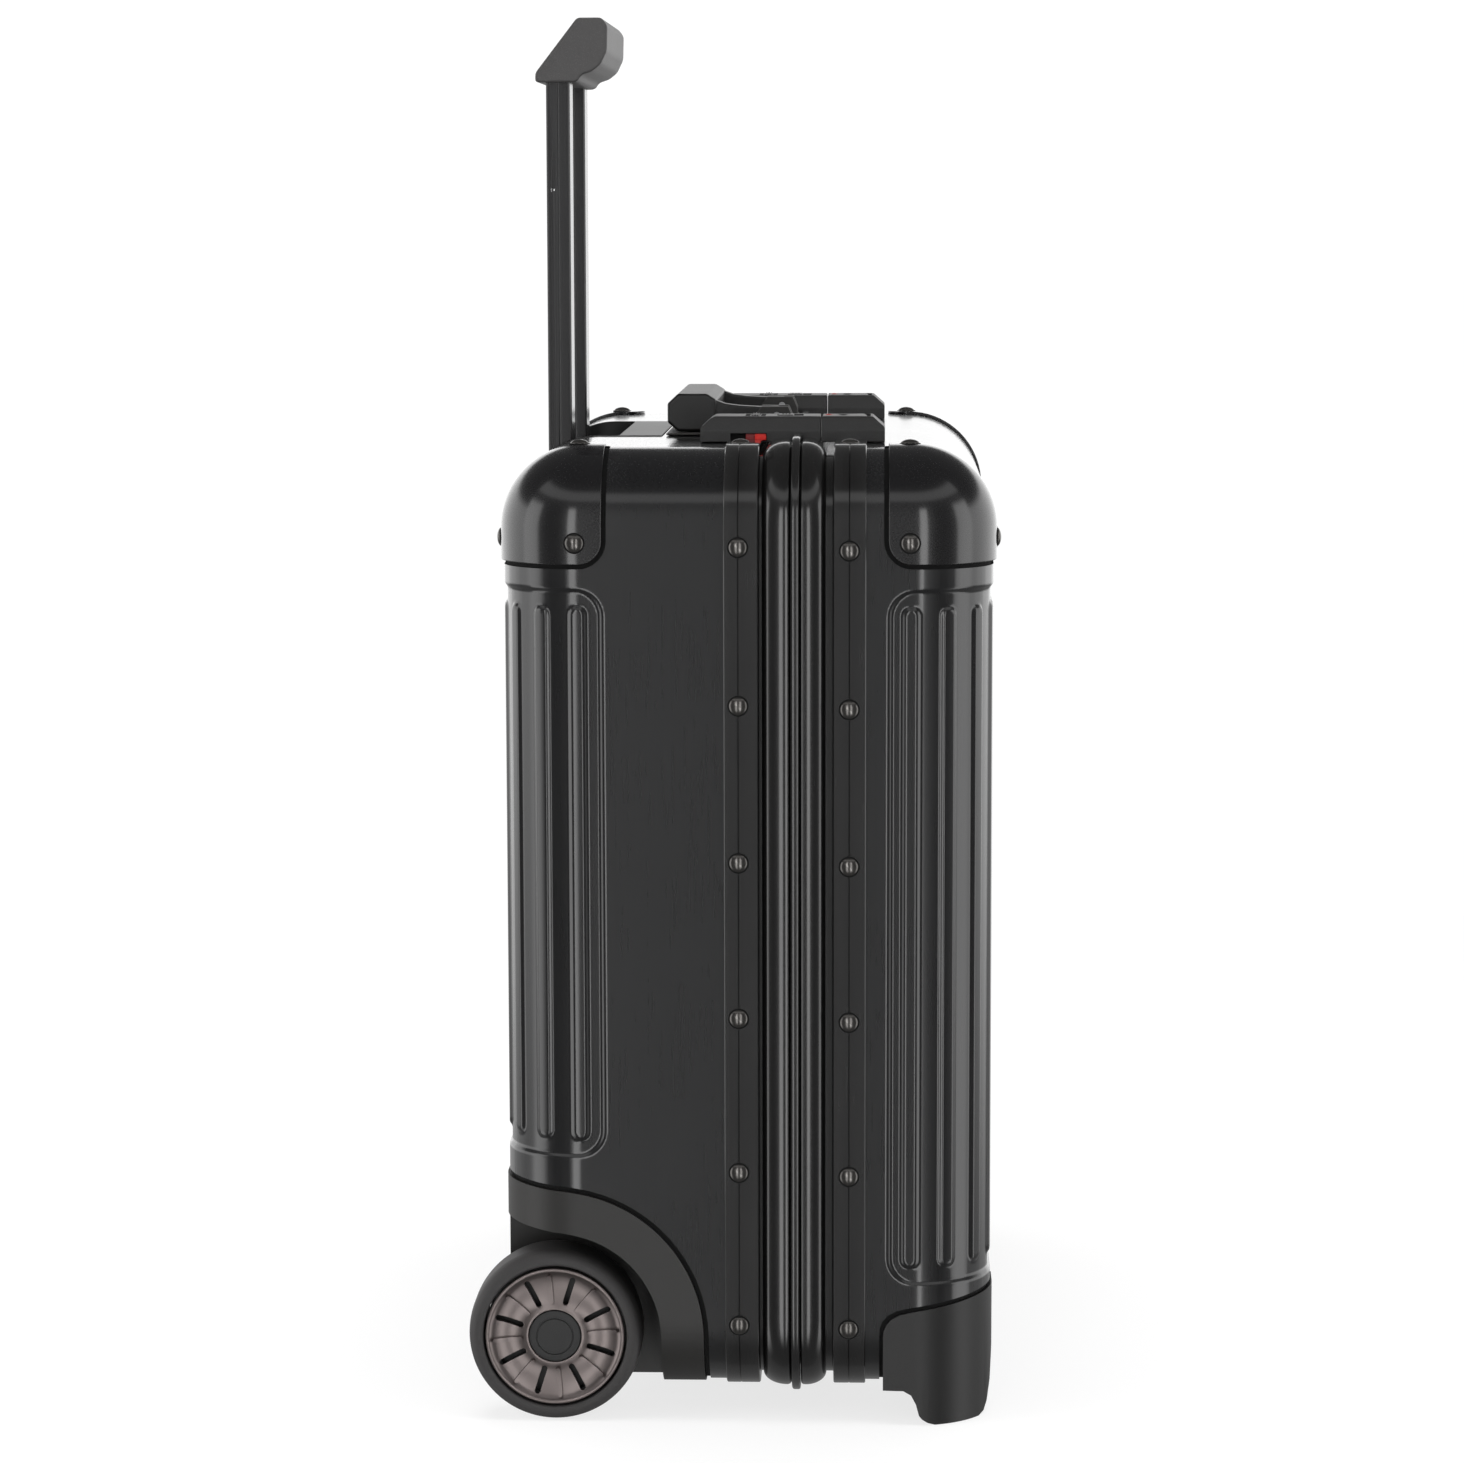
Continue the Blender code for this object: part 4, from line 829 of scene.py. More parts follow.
def lid_section():
    """The lid extrusion from its flange over the channel and the quarter round to the parting."""
    round_part = quarter_round(-0.0413, -0.0318) + [(PARTING - 0.0008, 0.0025), (PARTING - 0.0002, 0.0018)]
    inside = [(PARTING - 0.0002, FRAME_INNER), (-0.0316, FRAME_INNER), (-0.0316, 0.0006), (-0.0356, 0.0002),
              (-0.0388, -0.0020), (-0.0398, -0.0053)]
    return (flange(LID_FLANGE_END, LID_RIVET_Y, LID_WEB, -1) + round_part + inside
            + sheet_slot(LID_FLANGE_END, -0.0461))


def frame_rivets(word, y, top_z):
    """The rivet heads of one frame: six down each side, and two each on the top and the bottom."""
    heads = []
    reach = CORNER + FLANGE - 0.0001
    for side in (1, -1):
        for k in range(6):
            z = top_z - k * RIVET_PITCH
            lean = math.asin(max(0.0, BOTTOM + CORNER - z) / (CORNER + FLANGE))
            spot = (side * (FLAT_X + reach * math.cos(lean)), y, z)
            heads.append(rivet(spot, (side * math.cos(lean), 0, -math.sin(lean))))
        heads.append(rivet((side * TOP_RIVET_X, y, TOP + FLANGE - 0.0001), (0, 0, 1)))
        heads.append(rivet((side * TOP_RIVET_X, y, BOTTOM - FLANGE + 0.0001), (0, 0, -1)))
    place(join("rivets", heads), f"{word}_frame_rivets", None, "rivet_metal")


def frames():
    """The two extrusions, notched at the locks, the seal, and the rivets along both."""
    base = ring(base_section())
    lid = ring(lid_section())
    for side in (1, -1):
        start, end = side * LOCK_X - LOCK_HALF - NOTCH_GAP, side * LOCK_X + LOCK_HALF + NOTCH_GAP
        cut(base, block((start, -0.04, LOCK_SEAT), (end, 0.01, TOP + 0.01)), smooth=28)
        cut(lid, block((start, -0.07, LOCK_SEAT), (end, -0.02, TOP + 0.01)), smooth=28)
    place(base, "base_frame", FRAME, "frame_aluminium")
    place(lid, "lid_frame", FRAME, "frame_aluminium")
    outer = FRAME_INNER - 0.0003
    seal = ring(softened([(-0.0264, outer), (-0.0296, outer), (-0.0296, outer - 0.003),
                          (-0.0264, outer - 0.003)], 0.0009))
    place(seal, "frame_gasket", SEAL, "seal_rubber")
    frame_rivets("base", BASE_RIVET_Y, 0.3960)
    frame_rivets("lid", LID_RIVET_Y, 0.3945)


# ---------------------------------------------------------------- wheels

TYRE_IN, TYRE_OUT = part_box("tyre_right")[0].x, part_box("tyre_right")[1].x
WHEEL_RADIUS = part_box("tyre_right")[1].z - WHEEL_Z
DISC_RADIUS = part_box("rim_disc_right")[1].z - WHEEL_Z
HUB_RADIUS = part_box("centre_cap_right")[1].z - WHEEL_Z
SLOT_INNER, SLOT_OUTER = 0.0148, 0.0282
SLOT_WIDTH = 0.0026
DISC_RIB_WIDTH = 0.0019
SLOT_TURN, RIB_TURN = 27.4, 4.9


def spoke(turn, width, start, end, low, high):
    """A round-ended bar along a radius of the wheel, between two places along X."""
    outline = arc((end - width / 2, 0.0), width / 2, -90, 90, 8)
    outline += arc((start + width / 2, 0.0), width / 2, 90, 270, 8)
    a = math.radians(turn)
    placed = [(WHEEL_Y - r * math.cos(a) + t * math.sin(a), WHEEL_Z + r * math.sin(a) + t * math.cos(a))
              for r, t in outline]
    return prism(placed, "X", low, high)


def disc_profile(raised):
    """The dished disc's section, thicker in front by this much."""
    front = [(DISC_RADIUS, -0.0026), (DISC_RADIUS, -0.0008), (DISC_RADIUS - 0.0004, -0.0003),
             (DISC_RADIUS - 0.0012, -0.0002), (DISC_RADIUS - 0.0020, -0.0006), (DISC_RADIUS - 0.0026, -0.0014),
             (0.0270, -0.0021), (0.0240, -0.0029), (0.0205, -0.0031), (0.0170, -0.0027), (0.0145, -0.0020),
             (HUB_RADIUS + 0.0012, -0.0013), (HUB_RADIUS + 0.0003, -0.0014)]
    back = [(HUB_RADIUS + 0.0003, -0.0034), (0.0240, -0.0052)]
    return [(r, TYRE_OUT + x + raised) for r, x in front] + [(r, TYRE_OUT + x) for r, x in back]


def wheels():
    """Tyre, slotted disc and centre cap of each wheel."""
    seat = 0.0323
    tyre = [(WHEEL_RADIUS, TYRE_OUT - 0.0060), (WHEEL_RADIUS - 0.0010, TYRE_OUT - 0.0022),
            (WHEEL_RADIUS - 0.0034, TYRE_OUT - 0.0002), (seat + 0.0008, TYRE_OUT), (seat, TYRE_OUT - 0.0010),
            (seat, TYRE_IN + 0.0010), (seat + 0.0008, TYRE_IN), (WHEEL_RADIUS - 0.0034, TYRE_IN + 0.0002),
            (WHEEL_RADIUS - 0.0010, TYRE_IN + 0.0022), (WHEEL_RADIUS, TYRE_IN + 0.0060)]
    both_sides(turned(softened(tyre, 0.0022), WHEEL, 128), "tyre", RUBBER, "tyre_rubber")
    disc = turned(disc_profile(0.0), WHEEL, 128)
    ribs = [spoke(RIB_TURN + 45 * k, DISC_RIB_WIDTH, SLOT_INNER, SLOT_OUTER, TYRE_OUT - 0.0045, TYRE_OUT)
            for k in range(8)]
    for rib in ribs:
        cut(rib, turned(disc_profile(0.0016), WHEEL, 128), "INTERSECT")
        soft_edges(rib, 0.0009, 4, 50)
    cut(disc, [spoke(SLOT_TURN + 45 * k, SLOT_WIDTH, SLOT_INNER, SLOT_OUTER, TYRE_OUT - 0.01, TYRE_OUT + 0.01)
               for k in range(8)])
    soft_edges(disc, 0.00015, 1, 50)
    both_sides(join("disc", [disc] + ribs), "rim_disc", DISC, "disc_metal")
    face = TYRE_OUT - 0.0008
    cap = [(0.0, face + 0.0002), (0.0050, face + 0.0001), (0.0078, face), (0.0080, face - 0.0004),
           (0.0084, face - 0.0004), (0.0086, face), (HUB_RADIUS - 0.0008, face - 0.0001),
           (HUB_RADIUS - 0.0002, face - 0.0004), (HUB_RADIUS, face - 0.0010), (HUB_RADIUS, face - 0.0070),
           (HUB_RADIUS - 0.0015, face - 0.0070), (HUB_RADIUS - 0.0015, face - 0.0022), (0.0, face - 0.0022)]
    both_sides(turned(cap, WHEEL, 96), "centre_cap", HUB, "moulded_plastic")


# ---------------------------------------------------------------- pull handle

TUBE_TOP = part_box("inner_tube_right")[1].z
TUBE_X, TUBE_Y = middle_of("inner_tube_right", 0), middle_of("inner_tube_right", 1)
TUBE_WALL = 0.0014
TUBE_CHAMFER = 0.0007
TUBE_GROOVE_HALF = 0.00035
TUBE_GROOVE_DEEP = 0.0006
GRIP_LOW, GRIP_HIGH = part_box("handle_grip")
PIN_HOLE = (0.0880, 0.5524)


def tube_section(low, high):
    """A tube's outline, with chamfered corners and a narrow groove down the middle of each end face."""
    a, b = (high.x - low.x) / 2, (high.y - low.y) / 2
    c, g, deep = TUBE_CHAMFER, TUBE_GROOVE_HALF, TUBE_GROOVE_DEEP
    half = [(a, -b + c), (a, -g - 0.0002), (a - 0.0002, -g), (a - deep, -g), (a - deep, g),
            (a - 0.0002, g), (a, g + 0.0002), (a, b - c), (a - c, b), (-a + c, b)]
    outline = half + [(-x, -y) for x, y in half]
    return [(TUBE_X + x, TUBE_Y + y) for x, y in outline]


def tube_block(side, node, grown, bottom, top):
    """A block in a tube's place, grown by a little on every side."""
    low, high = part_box(node)
    half_x, half_y = (high.x - low.x) / 2 + grown, (high.y - low.y) / 2 + grown
    return block((side * TUBE_X - half_x, TUBE_Y - half_y, bottom),
                 (side * TUBE_X + half_x, TUBE_Y + half_y, top))


def tubes():
    """The grooved inner and middle tubes."""
    for stem in ("inner_tube", "middle_tube"):
        low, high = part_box(f"{stem}_right")
        tube = prism(tube_section(low, high), "Z", low.z, high.z)
        cut(tube, tube_block(1, f"{stem}_right", -TUBE_WALL, low.z - 0.01, high.z + 0.01))
        if stem == "inner_tube":
            cut(tube, rod(0.0010, TUBE_X - 0.02, TUBE_X + 0.02, PIN_HOLE, 20))
        soft_edges(tube, 0.00015, 1, 30)
        both_sides(tube, stem, TUBE, "tube_aluminium")


def handle_grip():
    """The slanted grip, open below for the tubes, and the button on top."""
    outline = [(0.0955, 0.6019), (0.0955, 0.6062), (0.0759, 0.6315), (0.0645, 0.6315), (0.0617, 0.6278),
               (0.0620, 0.6163), (0.0650, 0.6100), (0.0690, 0.6068), (0.0739, 0.6052), (0.0757, 0.6025),
               (0.0775, 0.6019)]
    grip = prism(softened(outline, 0.0016), "X", GRIP_LOW.x, GRIP_HIGH.x, 0.0012, 4)
    sockets = [tube_block(side, "inner_tube_right", 0.0003, 0.590, TUBE_TOP + 0.0003) for side in (1, -1)]
    pocket = block((-0.0113, 0.0662, 0.6220), (0.0113, 0.0742, 0.6400))
    cut(grip, sockets + [pocket])
    place(grip, "handle_grip", GRIP, "handle_plastic")
    low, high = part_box("grip_button")
    button = block(low, high, 0.0009, 4)
    ridges = [block((x - 0.0005, low.y + 0.0014, high.z - 0.0003), (x + 0.0005, high.y - 0.0014, high.z + 0.001),
                    0.0002, 1) for x in (-0.0045, -0.0015, 0.0015, 0.0045)]
    cut(button, ridges)
    place(button, "grip_button", LOCK, "lock_plastic")


def handle_tray():
    """The moulded tray that the grip sinks into."""
    tray = block((-TRAY_HALF, TRAY_Y[0], TRAY_FLOOR - 0.002), (TRAY_HALF, TRAY_Y[1], TOP + 0.01))
    cut(tray, case_solid(0.0, BACK, 0.0004), "INTERSECT")
    wall = 0.0015
    recess = prism(softened([(-TRAY_HALF + wall, TRAY_RECESS_Y[0]), (TRAY_HALF - wall, TRAY_RECESS_Y[0]),
                             (TRAY_HALF - wall, TRAY_RECESS_Y[1]), (-TRAY_HALF + wall, TRAY_RECESS_Y[1])], 0.003),
                   "Z", TRAY_FLOOR, TOP + 0.02)
    under = block((-TRAY_HALF + wall, TRAY_Y[0] + wall, TRAY_FLOOR - 0.01),
                  (TRAY_HALF - wall, TRAY_RECESS_Y[0] - wall, TOP - 0.002))
    holes = [tube_block(side, "middle_tube_right", 0.0006, TRAY_FLOOR - 0.01, TRAY_FLOOR + 0.01)
             for side in (1, -1)]
    cut(tray, [recess, under] + holes)
    soft_edges(tray, 0.0004, 2, 50)
    place(tray, "handle_bezel", CARRY, "moulded_plastic")


# ---------------------------------------------------------------- locks and hasps

LOCK_UNDER, LOCK_TOP = (corner.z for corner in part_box("lock_case_right"))
DIAL_RADIUS = 0.0042
DIAL_PITCH = 0.0066
DIAL_Y, DIAL_Z = middle_of("dial_right_2", 1), middle_of("dial_right_2", 2)
FACET = 0.0002
HASP_PIVOT = (-0.0570, 0.4474)


def lock_body(outline):
    """A side outline, with the long upper edges cut back to a sloping facet across the case."""
    body = prism(softened(outline, 0.0007, 3), "X", LOCK_X - 0.02, LOCK_X + 0.02)
    a = LOCK_HALF
    section = [(LOCK_X - a, LOCK_UNDER), (LOCK_X - a, 0.4436), (LOCK_X - a + 0.0017, 0.4491),
               (LOCK_X - a + 0.0027, LOCK_TOP), (LOCK_X + a - 0.0027, LOCK_TOP),
               (LOCK_X + a - 0.0017, 0.4491), (LOCK_X + a, 0.4436), (LOCK_X + a, LOCK_UNDER)]
    return cut(body, prism(softened(section, 0.0003, 2), "Y", -0.08, 0.03), "INTERSECT")


def locks():
    """Lock cases, dials, release buttons and sliders on the base; hasps and levers on the lid."""
    case = lock_body([(0.0166, LOCK_UNDER), (0.0166, 0.4449), (0.0120, 0.4490), (0.0100, LOCK_TOP),
                      (-0.0379, LOCK_TOP), (-0.0379, LOCK_UNDER)])
    tools = []
    for k in (-1, 0, 1):
        x = LOCK_X + k * DIAL_PITCH
        tools.append(block((x - 0.0028, DIAL_Y - 0.0046, DIAL_Z - 0.0046), (x + 0.0028, DIAL_Y + 0.0046, 0.46)))
    tools.append(block((LOCK_X - 0.0070, -0.0300, 0.4460), (LOCK_X + 0.0070, -0.0180, 0.46)))
    edge = LOCK_X + LOCK_HALF
    tools.append(block((edge - 0.0020, -0.0136, 0.4389), (edge + 0.01, 0.0030, 0.4424)))
    # The pockets and windows cut into the lock case are painted near-black as shade.
    for tool in tools:
        paint(tool, SHADE)
    cut(paint(case, LOCK), tools)
    soft_edges(case, FACET, 1, 14)
    both_sides(case, "lock_case", None, "lock_plastic")

    low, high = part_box("release_button_right")
    button = block(low, high, 0.0006, 3)
    ridges = [block((LOCK_X - 0.0050, y - 0.0003, high.z - 0.0003), (LOCK_X + 0.0050, y + 0.0003, high.z + 0.001))
              for y in (-0.0235, -0.0220, -0.0205)]
    cut(button, ridges)
    both_sides(button, "release_button", LOCK, "lock_plastic")

    low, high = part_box("set_slider_right")
    middle = low.y + 0.55 * (high.y - low.y)
    bright = block(low, (high.x, middle, high.z), 0.0003, 2)
    dull = block((low.x, middle - 0.0001, low.z), (high.x - 0.0003, high.y, high.z), 0.0003, 2)
    paint(bright, RED)
    paint(dull, DARK_RED)
    both_sides(join("slider", [bright, dull]), "set_slider", None, "indicator_red")

    teeth = []
    for k in range(20):
        a = math.radians(18 * k)
        for turn, reach in ((-4.5, DIAL_RADIUS - 0.0005), (-2.5, DIAL_RADIUS), (2.5, DIAL_RADIUS),
                            (4.5, DIAL_RADIUS - 0.0005)):
            teeth.append((DIAL_Y + reach * math.cos(a + math.radians(turn)),
                          DIAL_Z + reach * math.sin(a + math.radians(turn))))
    for word, side in (("right", 1), ("left", -1)):
        for k in (-1, 0, 1):
            x = side * (LOCK_X + k * DIAL_PITCH)
            dial = prism(teeth, "X", x - 0.0022, x + 0.0022, 0.0002, 1)
            place(dial, f"dial_{word}_{k + 2}", LOCK, "lock_plastic")

    hasp = lock_body([(-0.0384, LOCK_UNDER), (-0.0384, LOCK_TOP), (-0.0615, LOCK_TOP), (-0.0671, 0.4450),
                      (-0.0671, LOCK_UNDER)])
    cut(hasp, block((LOCK_X - 0.0113, -0.0606, 0.4444), (LOCK_X + 0.0113, 0.0, 0.46)))
    soft_edges(hasp, FACET, 1, 14)
    both_sides(hasp, "hasp_base", LOCK, "lock_plastic")

    pivot_y, pivot_z = HASP_PIVOT
    lever_outline = [(-0.0387, 0.4449), (-0.0387, LOCK_TOP - 0.0005), (-0.0392, LOCK_TOP)]
    lever_outline += arc((pivot_y, pivot_z), LOCK_TOP - pivot_z, 90, 270, 16)
    lever = prism(lever_outline, "X", LOCK_X - 0.0110, LOCK_X + 0.0110, 0.0005, 2)
    scoop = turned([(0.0060, LOCK_X - 0.0075), (0.0066, LOCK_X), (0.0060, LOCK_X + 0.0075), (0.0, LOCK_X + 0.0075),
                    (0.0, LOCK_X - 0.0075)], (-0.0480, LOCK_TOP + 0.0056), 48)
    cut(lever, scoop)
    soft_edges(lever, 0.0003, 2, 50)
    paint(lever, LOCK)
    dot = rivet((LOCK_X, -0.0415, LOCK_TOP - 0.00005), (0, 0, 1), 0.0014, 0.0005, 20)
    paint(dot, DARK_RED)
    both_sides(join("lever", [lever, dot]), "hasp_lever", None, "lock_plastic")


# ---------------------------------------------------------------- carry handle

ARM_X = (0.0465, 0.0555)
CARRY_PIVOT = (-0.0165, 0.4474)


def carry_handle():
    """The folded carry handle and the plate with the four ears it turns between."""
    grip_outline = [(0.0349, 0.4440), (0.0349, 0.4528), (0.0300, 0.4574), (0.0165, 0.4574), (0.0120, 0.4546),
                    (0.0120, 0.4462), (0.0180, 0.4398), (0.0300, 0.4398)]
    grip = prism(softened(grip_outline, 0.0009, 3), "X", -0.0570, 0.0570, 0.0022, 3)
    pivot_y, pivot_z = CARRY_PIVOT
    arms = []
    for side in (1, -1):
        outline = arc((pivot_y, pivot_z), 0.0040, 270, 90, 16)
        outline += [(-0.0080, 0.4513), (0.0010, 0.4518), (0.0075, 0.4526), (0.0115, 0.4540), (0.0150, 0.4556),
                    (0.0200, 0.4556), (0.0200, 0.4430), (0.0120, 0.4437)]
        arms.append(prism(outline, "X", *across(side, *ARM_X), 0.0009, 3))
    cut(grip, arms, "UNION")
    soft_edges(grip, 0.0006, 3, 32)
    place(grip, "carry_handle", CARRY, "moulded_plastic")

    outline = [(0.0352, 0.4384), (0.0352, 0.4393), (0.0110, 0.4393), (0.0080, 0.4430), (-0.0246, 0.4430),
               (-0.0246, 0.4409), (-0.0120, 0.4409), (-0.0118, 0.4400), (0.0044, 0.4400), (0.0044, 0.4384)]
    plate = prism(softened(outline, 0.0003, 2), "X", -0.0640, 0.0640, 0.0003, 1)
    ear = [(-0.0050, 0.4415), (-0.0057, 0.4463), (-0.0093, 0.4516), (-0.0219, 0.4516), (-0.0241, 0.4463),
           (-0.0241, 0.4415)]
    ears = []
    for side in (1, -1):
        for start, end in ((ARM_X[0] - 0.0043, ARM_X[0] - 0.0003), (ARM_X[1] + 0.0003, ARM_X[1] + 0.0043)):
            ears.append(prism(softened(ear, 0.0005, 3), "X", *across(side, start, end), 0.0004, 2))
    cut(plate, ears, "UNION")
    pins = []
    for side in (1, -1):
        low, high = across(side, ARM_X[0] - 0.0046, ARM_X[1] + 0.0046)
        pins.append(paint(rod(0.0016, low, high, CARRY_PIVOT, 24), STEEL))
    paint(plate, PLASTIC)
    place(join("plate", [plate] + pins), "carry_handle_base", None, "moulded_plastic")


# ---------------------------------------------------------------- linings

LINING_INSET = 0.0105
CLOTH = 0.0020
CLEAR = 0.0012
CHANNEL_HALF = 0.0670


def lining_keep_outs(grown):
    """Boxes that the base lining stays clear of: the tray, the tubes and the wheel housings."""
    behind = WHEEL_Y - HOUSING_RADIUS
    over = WHEEL_Z + HOUSING_RADIUS + 0.003
    boxes = [
        ((-TRAY_HALF, TRAY_Y[0], TRAY_FLOOR - 0.003), (TRAY_HALF, 0.2, 0.5)),
        ((-CHANNEL_HALF, TUBE_Y - 0.0125, 0.0), (CHANNEL_HALF, 0.2, 0.5)),
        ((HOUSING_INNER - 0.0075, behind, 0.0), (0.3, 0.2, over)),
        ((-0.3, behind, 0.0), (-HOUSING_INNER + 0.0075, 0.2, over)),
    ]
    return [block([c - grown for c in low], [c + grown for c in high]) for low, high in boxes]


def soft_lining(node, rim, hollow_rim, end, boxed):
    """A fabric tray that follows its half of the case: shallow folds, smooth along the opening."""
    outer = case_solid(rim, end, -LINING_INSET)
    inner = case_solid(hollow_rim, end, -LINING_INSET - CLOTH)
    if boxed:
        cut(outer, lining_keep_outs(CLEAR))
        cut(inner, lining_keep_outs(CLEAR + CLOTH))
    cut(outer, inner)
    remesh = outer.modifiers.new("even", "REMESH")
    remesh.mode = "VOXEL"
    remesh.voxel_size = 0.0011
    bake(outer)
    mesh = outer.data
    count = len(mesh.vertices)
    spots = np.zeros(count * 3)
    mesh.vertices.foreach_get("co", spots)
    spots = spots.reshape(-1, 3)
    middle = np.array([0.0, (rim + end) / 2, (TOP + BOTTOM) / 2])
    taut = 1.0 - smoothstep(0.010, 0.028, np.abs(spots[:, 1] - rim))
    wave = np.sin(spots[:, 0] * 61 + 2.1 * np.sin(spots[:, 2] * 23)) * np.sin(spots[:, 2] * 47 + spots[:, 1] * 55)
    wave += 0.5 * np.sin(spots[:, 0] * 131 + spots[:, 2] * 97 + 1.3) * np.sin(spots[:, 1] * 89 + 0.4)
    inwards = middle - spots
    inwards /= np.linalg.norm(inwards, axis=1)[:, None]
    spots += inwards * (0.00035 * (wave + 1.4) * (1 - taut))[:, None]
    mesh.vertices.foreach_set("co", spots.ravel())
    mesh.update()
    place(outer, node, LINING, "lining_fabric")


def linings():
    """The linings of the base, which stays clear of what stands in it, and of the lid."""
    soft_lining("base_lining", -0.0250, -0.0600, BACK, True)
    soft_lining("lid_lining", -0.0335, 0.0, FRONT, False)


# ---------------------------------------------------------------- pieces kept from the CAD model

KEPT = {
    "wheel_core": PLASTIC, "wheel_bearing": STEEL, "wheel_axle": STEEL, "outer_tube": STEEL,
    "tube_foot_block": PLASTIC, "hinge_leaf_base": STEEL, "hinge_leaf_lid": STEEL, "hinge_pin": STEEL,
}


def kept_nodes():
    """CAD nodes whose shape is right: a finish, and a fine bevel on the hinge pieces."""
    for name, node in frame["nodes"].items():
        stem = name.removesuffix("_right").removesuffix("_left")
        if stem not in KEPT:
            continue
        node.data.materials.clear()
        node.data.materials.append(KEPT[stem])
        if stem.startswith("hinge"):
            add_bevel(node, 0.0002, 2, 40)


# ---------------------------------------------------------------- studio

CAMERA_AT = (-1.997, -0.0655, 0.542)
CAMERA_WAY = (0.9915, 0.0360, -0.1248)
CAMERA_ROLL = 0.14
CAMERA_LENS = 101.58

# Brightness of the studio round the case.
FRONT_WALL = 0.15
STRIP = 3.2
SIDE_BOX = 1.8
BACK_WALL = 1.3
TOP_BOX = 0.85
CEILING = 0.09
CAMERA_WHITE = 1.05
BRIGHTEST = 4.0


def floor():
    """A plain pale floor that fades into the white around it."""
    bm = bmesh.new()
    bmesh.ops.create_grid(bm, x_segments=1, y_segments=1, size=30.0)
    obj = make_object("studio_floor", bm)
    made = bpy.data.materials.new("pale_floor")
    made.use_nodes = True
    tree = made.node_tree
    shader = tree.nodes["Principled BSDF"]
    feed(tree, shader, {"Base Color": (0.93, 0.93, 0.93, 1.0), "Roughness": 0.6, "Specular IOR Level": 0.2})
    where = add_node(tree, "TexCoord").outputs["Object"]
    away = add_node(tree, "VectorMath", {0: where}, operation="LENGTH").outputs["Value"]
    glow = add_node(tree, "Emission", {"Strength": 1.02})
    mixed = add_node(tree, "MixShader", {"Fac": between(tree, away, 0.45, 1.3, 0.75),
                                         1: shader.outputs["BSDF"], 2: glow.outputs["Emission"]})
    feed(tree, tree.nodes["Material Output"], {"Surface": mixed.outputs["Shader"]})
    obj.data.materials.append(made)
    obj.visible_glossy = False


def panel_light(name, spot, target, size, power):
    """A soft box that faces the target and isn't mirrored in the case."""
    data = bpy.data.lights.new(name, "AREA")
    data.shape = "RECTANGLE"
    data.size, data.size_y = size
    data.energy = power
    lamp = link_object(name, data)
    lamp.location = spot
    lamp.rotation_mode = "QUATERNION"
    lamp.rotation_quaternion = (Vector(target) - Vector(spot)).to_track_quat("-Z", "Y")
    lamp.visible_camera = False
    lamp.visible_glossy = False


def ramp(tree, value, stops):
    """A smooth curve through (place, level) stops."""
    node = add_node(tree, "ValToRGB", {"Fac": value})
    node.color_ramp.interpolation = "EASE"
    marks = node.color_ramp.elements
    marks.remove(marks[1])
    for place_on, level in stops:
        mark = marks.new(place_on) if place_on else marks[0]
        mark.color = (*[level / BRIGHTEST] * 3, 1.0)
    return calculated(tree, "MULTIPLY", BRIGHTEST, node.outputs["Color"])


def between(tree, value, low, high, least=0.0):
    """The least level below the low value, rising smoothly to 1 above the high one."""
    inputs = {"Value": value, "From Min": low, "From Max": high, "To Min": least}
    return add_node(tree, "MapRange", inputs, interpolation_type="SMOOTHSTEP").outputs["Result"]


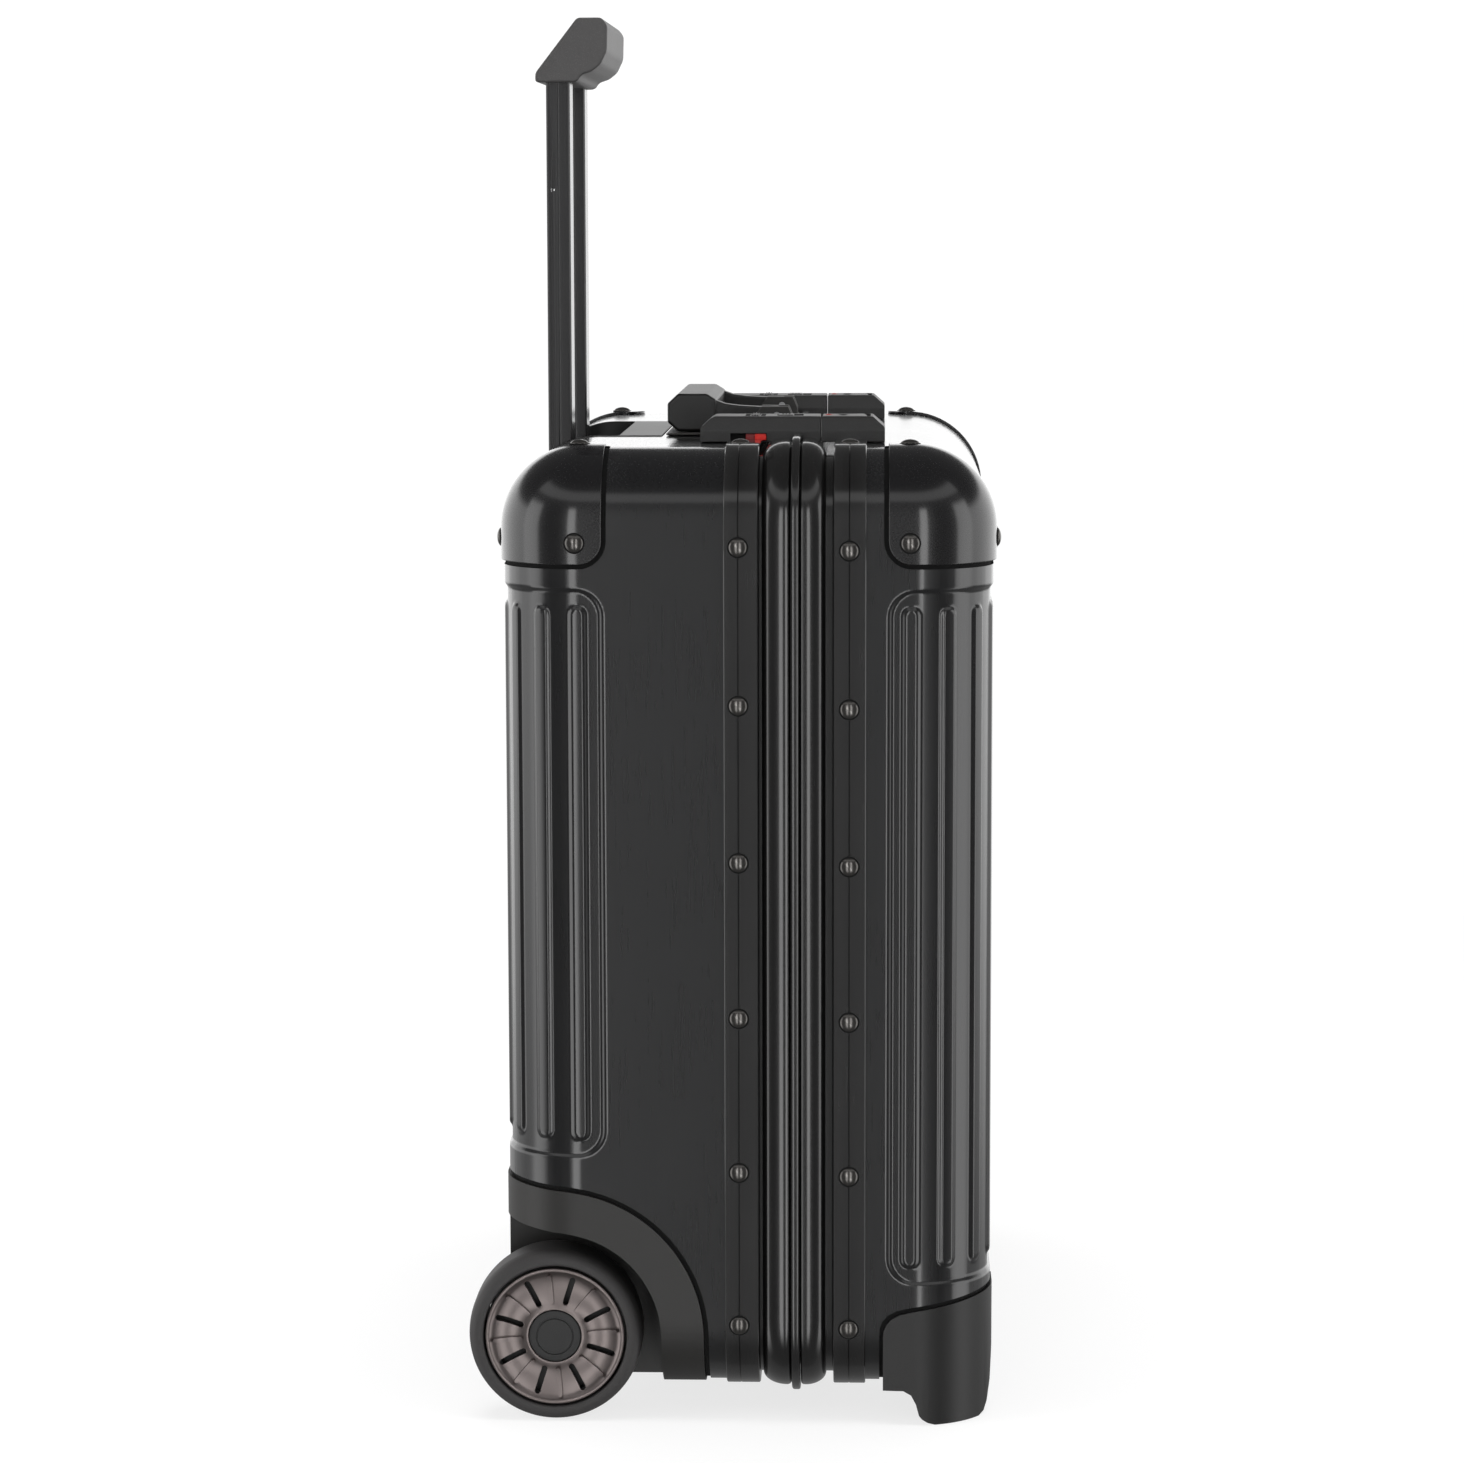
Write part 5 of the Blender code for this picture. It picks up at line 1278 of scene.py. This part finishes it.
def sky():
    """The studio all round: even white for the camera, and for all else a white wall behind the case,
    two upright soft boxes in front, one at each side and one overhead."""
    world = bpy.data.worlds.new("studio")
    bpy.context.scene.world = world
    world.use_nodes = True
    tree = world.node_tree
    tree.nodes.clear()
    split = add_node(tree, "SeparateXYZ", {"Vector": add_node(tree, "TexCoord").outputs["Generated"]})
    aside = calculated(tree, "ABSOLUTE", split.outputs["Y"])
    ahead = calculated(tree, "MULTIPLY", split.outputs["X"], -1.0)
    turn = calculated(tree, "DIVIDE", calculated(tree, "ARCTAN2", aside, ahead), math.pi)
    height = split.outputs["Z"]
    around = ramp(tree, turn, [(0.0, 0.0), (0.042, 0.0), (0.060, STRIP), (0.100, STRIP), (0.120, 0.0),
                               (0.33, 0.0), (0.37, SIDE_BOX), (0.49, SIDE_BOX)])
    lit_band = calculated(tree, "SUBTRACT", between(tree, height, -0.85, -0.45), between(tree, height, 0.42, 0.55))
    upward = ramp(tree, height, [(0.0, FRONT_WALL), (0.22, FRONT_WALL), (0.32, 0.14), (0.60, 0.16),
                                 (0.68, TOP_BOX), (0.76, TOP_BOX), (0.84, CEILING)])
    front = calculated(tree, "MULTIPLY_ADD", around, lit_band, upward)
    behind = chosen(tree, between(tree, height, 0.28, 0.42), BACK_WALL, CEILING)
    behind = chosen(tree, between(tree, height, -0.30, -0.08), 0.22, behind)
    reflected = chosen(tree, between(tree, turn, 0.47, 0.51), front, behind)
    seen = chosen(tree, add_node(tree, "LightPath").outputs["Is Camera Ray"], reflected, CAMERA_WHITE)
    lit = add_node(tree, "Background", {"Color": (1.0, 1.0, 1.0, 1.0), "Strength": seen})
    add_node(tree, "OutputWorld", {"Surface": lit.outputs["Background"]})


def studio():
    """Floor, soft boxes, camera and the plain view of colours."""
    floor()
    sky()
    panel_light("left_box", (-0.6, 1.7, 0.75), (0.0, 0.05, 0.3), (0.7, 1.6), 14)
    panel_light("right_box", (-0.6, -1.7, 0.75), (0.0, -0.05, 0.3), (0.7, 1.6), 14)
    panel_light("top_box", (0.1, 0.0, 2.1), (0.0, 0.0, 0.3), (1.6, 1.6), 48)
    data = bpy.data.cameras.new("camera")
    data.lens = CAMERA_LENS
    data.sensor_width = 36.0
    camera = link_object("camera", data)
    camera.location = CAMERA_AT
    camera.rotation_mode = "QUATERNION"
    turn = Vector(CAMERA_WAY).to_track_quat("-Z", "Y").to_matrix()
    roll = Matrix.Rotation(math.radians(CAMERA_ROLL), 3, Vector(CAMERA_WAY).normalized())
    camera.rotation_quaternion = (roll @ turn).to_quaternion()
    bpy.context.scene.camera = camera
    bpy.context.scene.view_settings.view_transform = "Standard"
    bpy.context.scene.view_settings.look = "None"


shells()
corner_caps()
wheel_housings()
feet()
frames()
wheels()
tubes()
handle_grip()
handle_tray()
locks()
carry_handle()
linings()
kept_nodes()
studio()
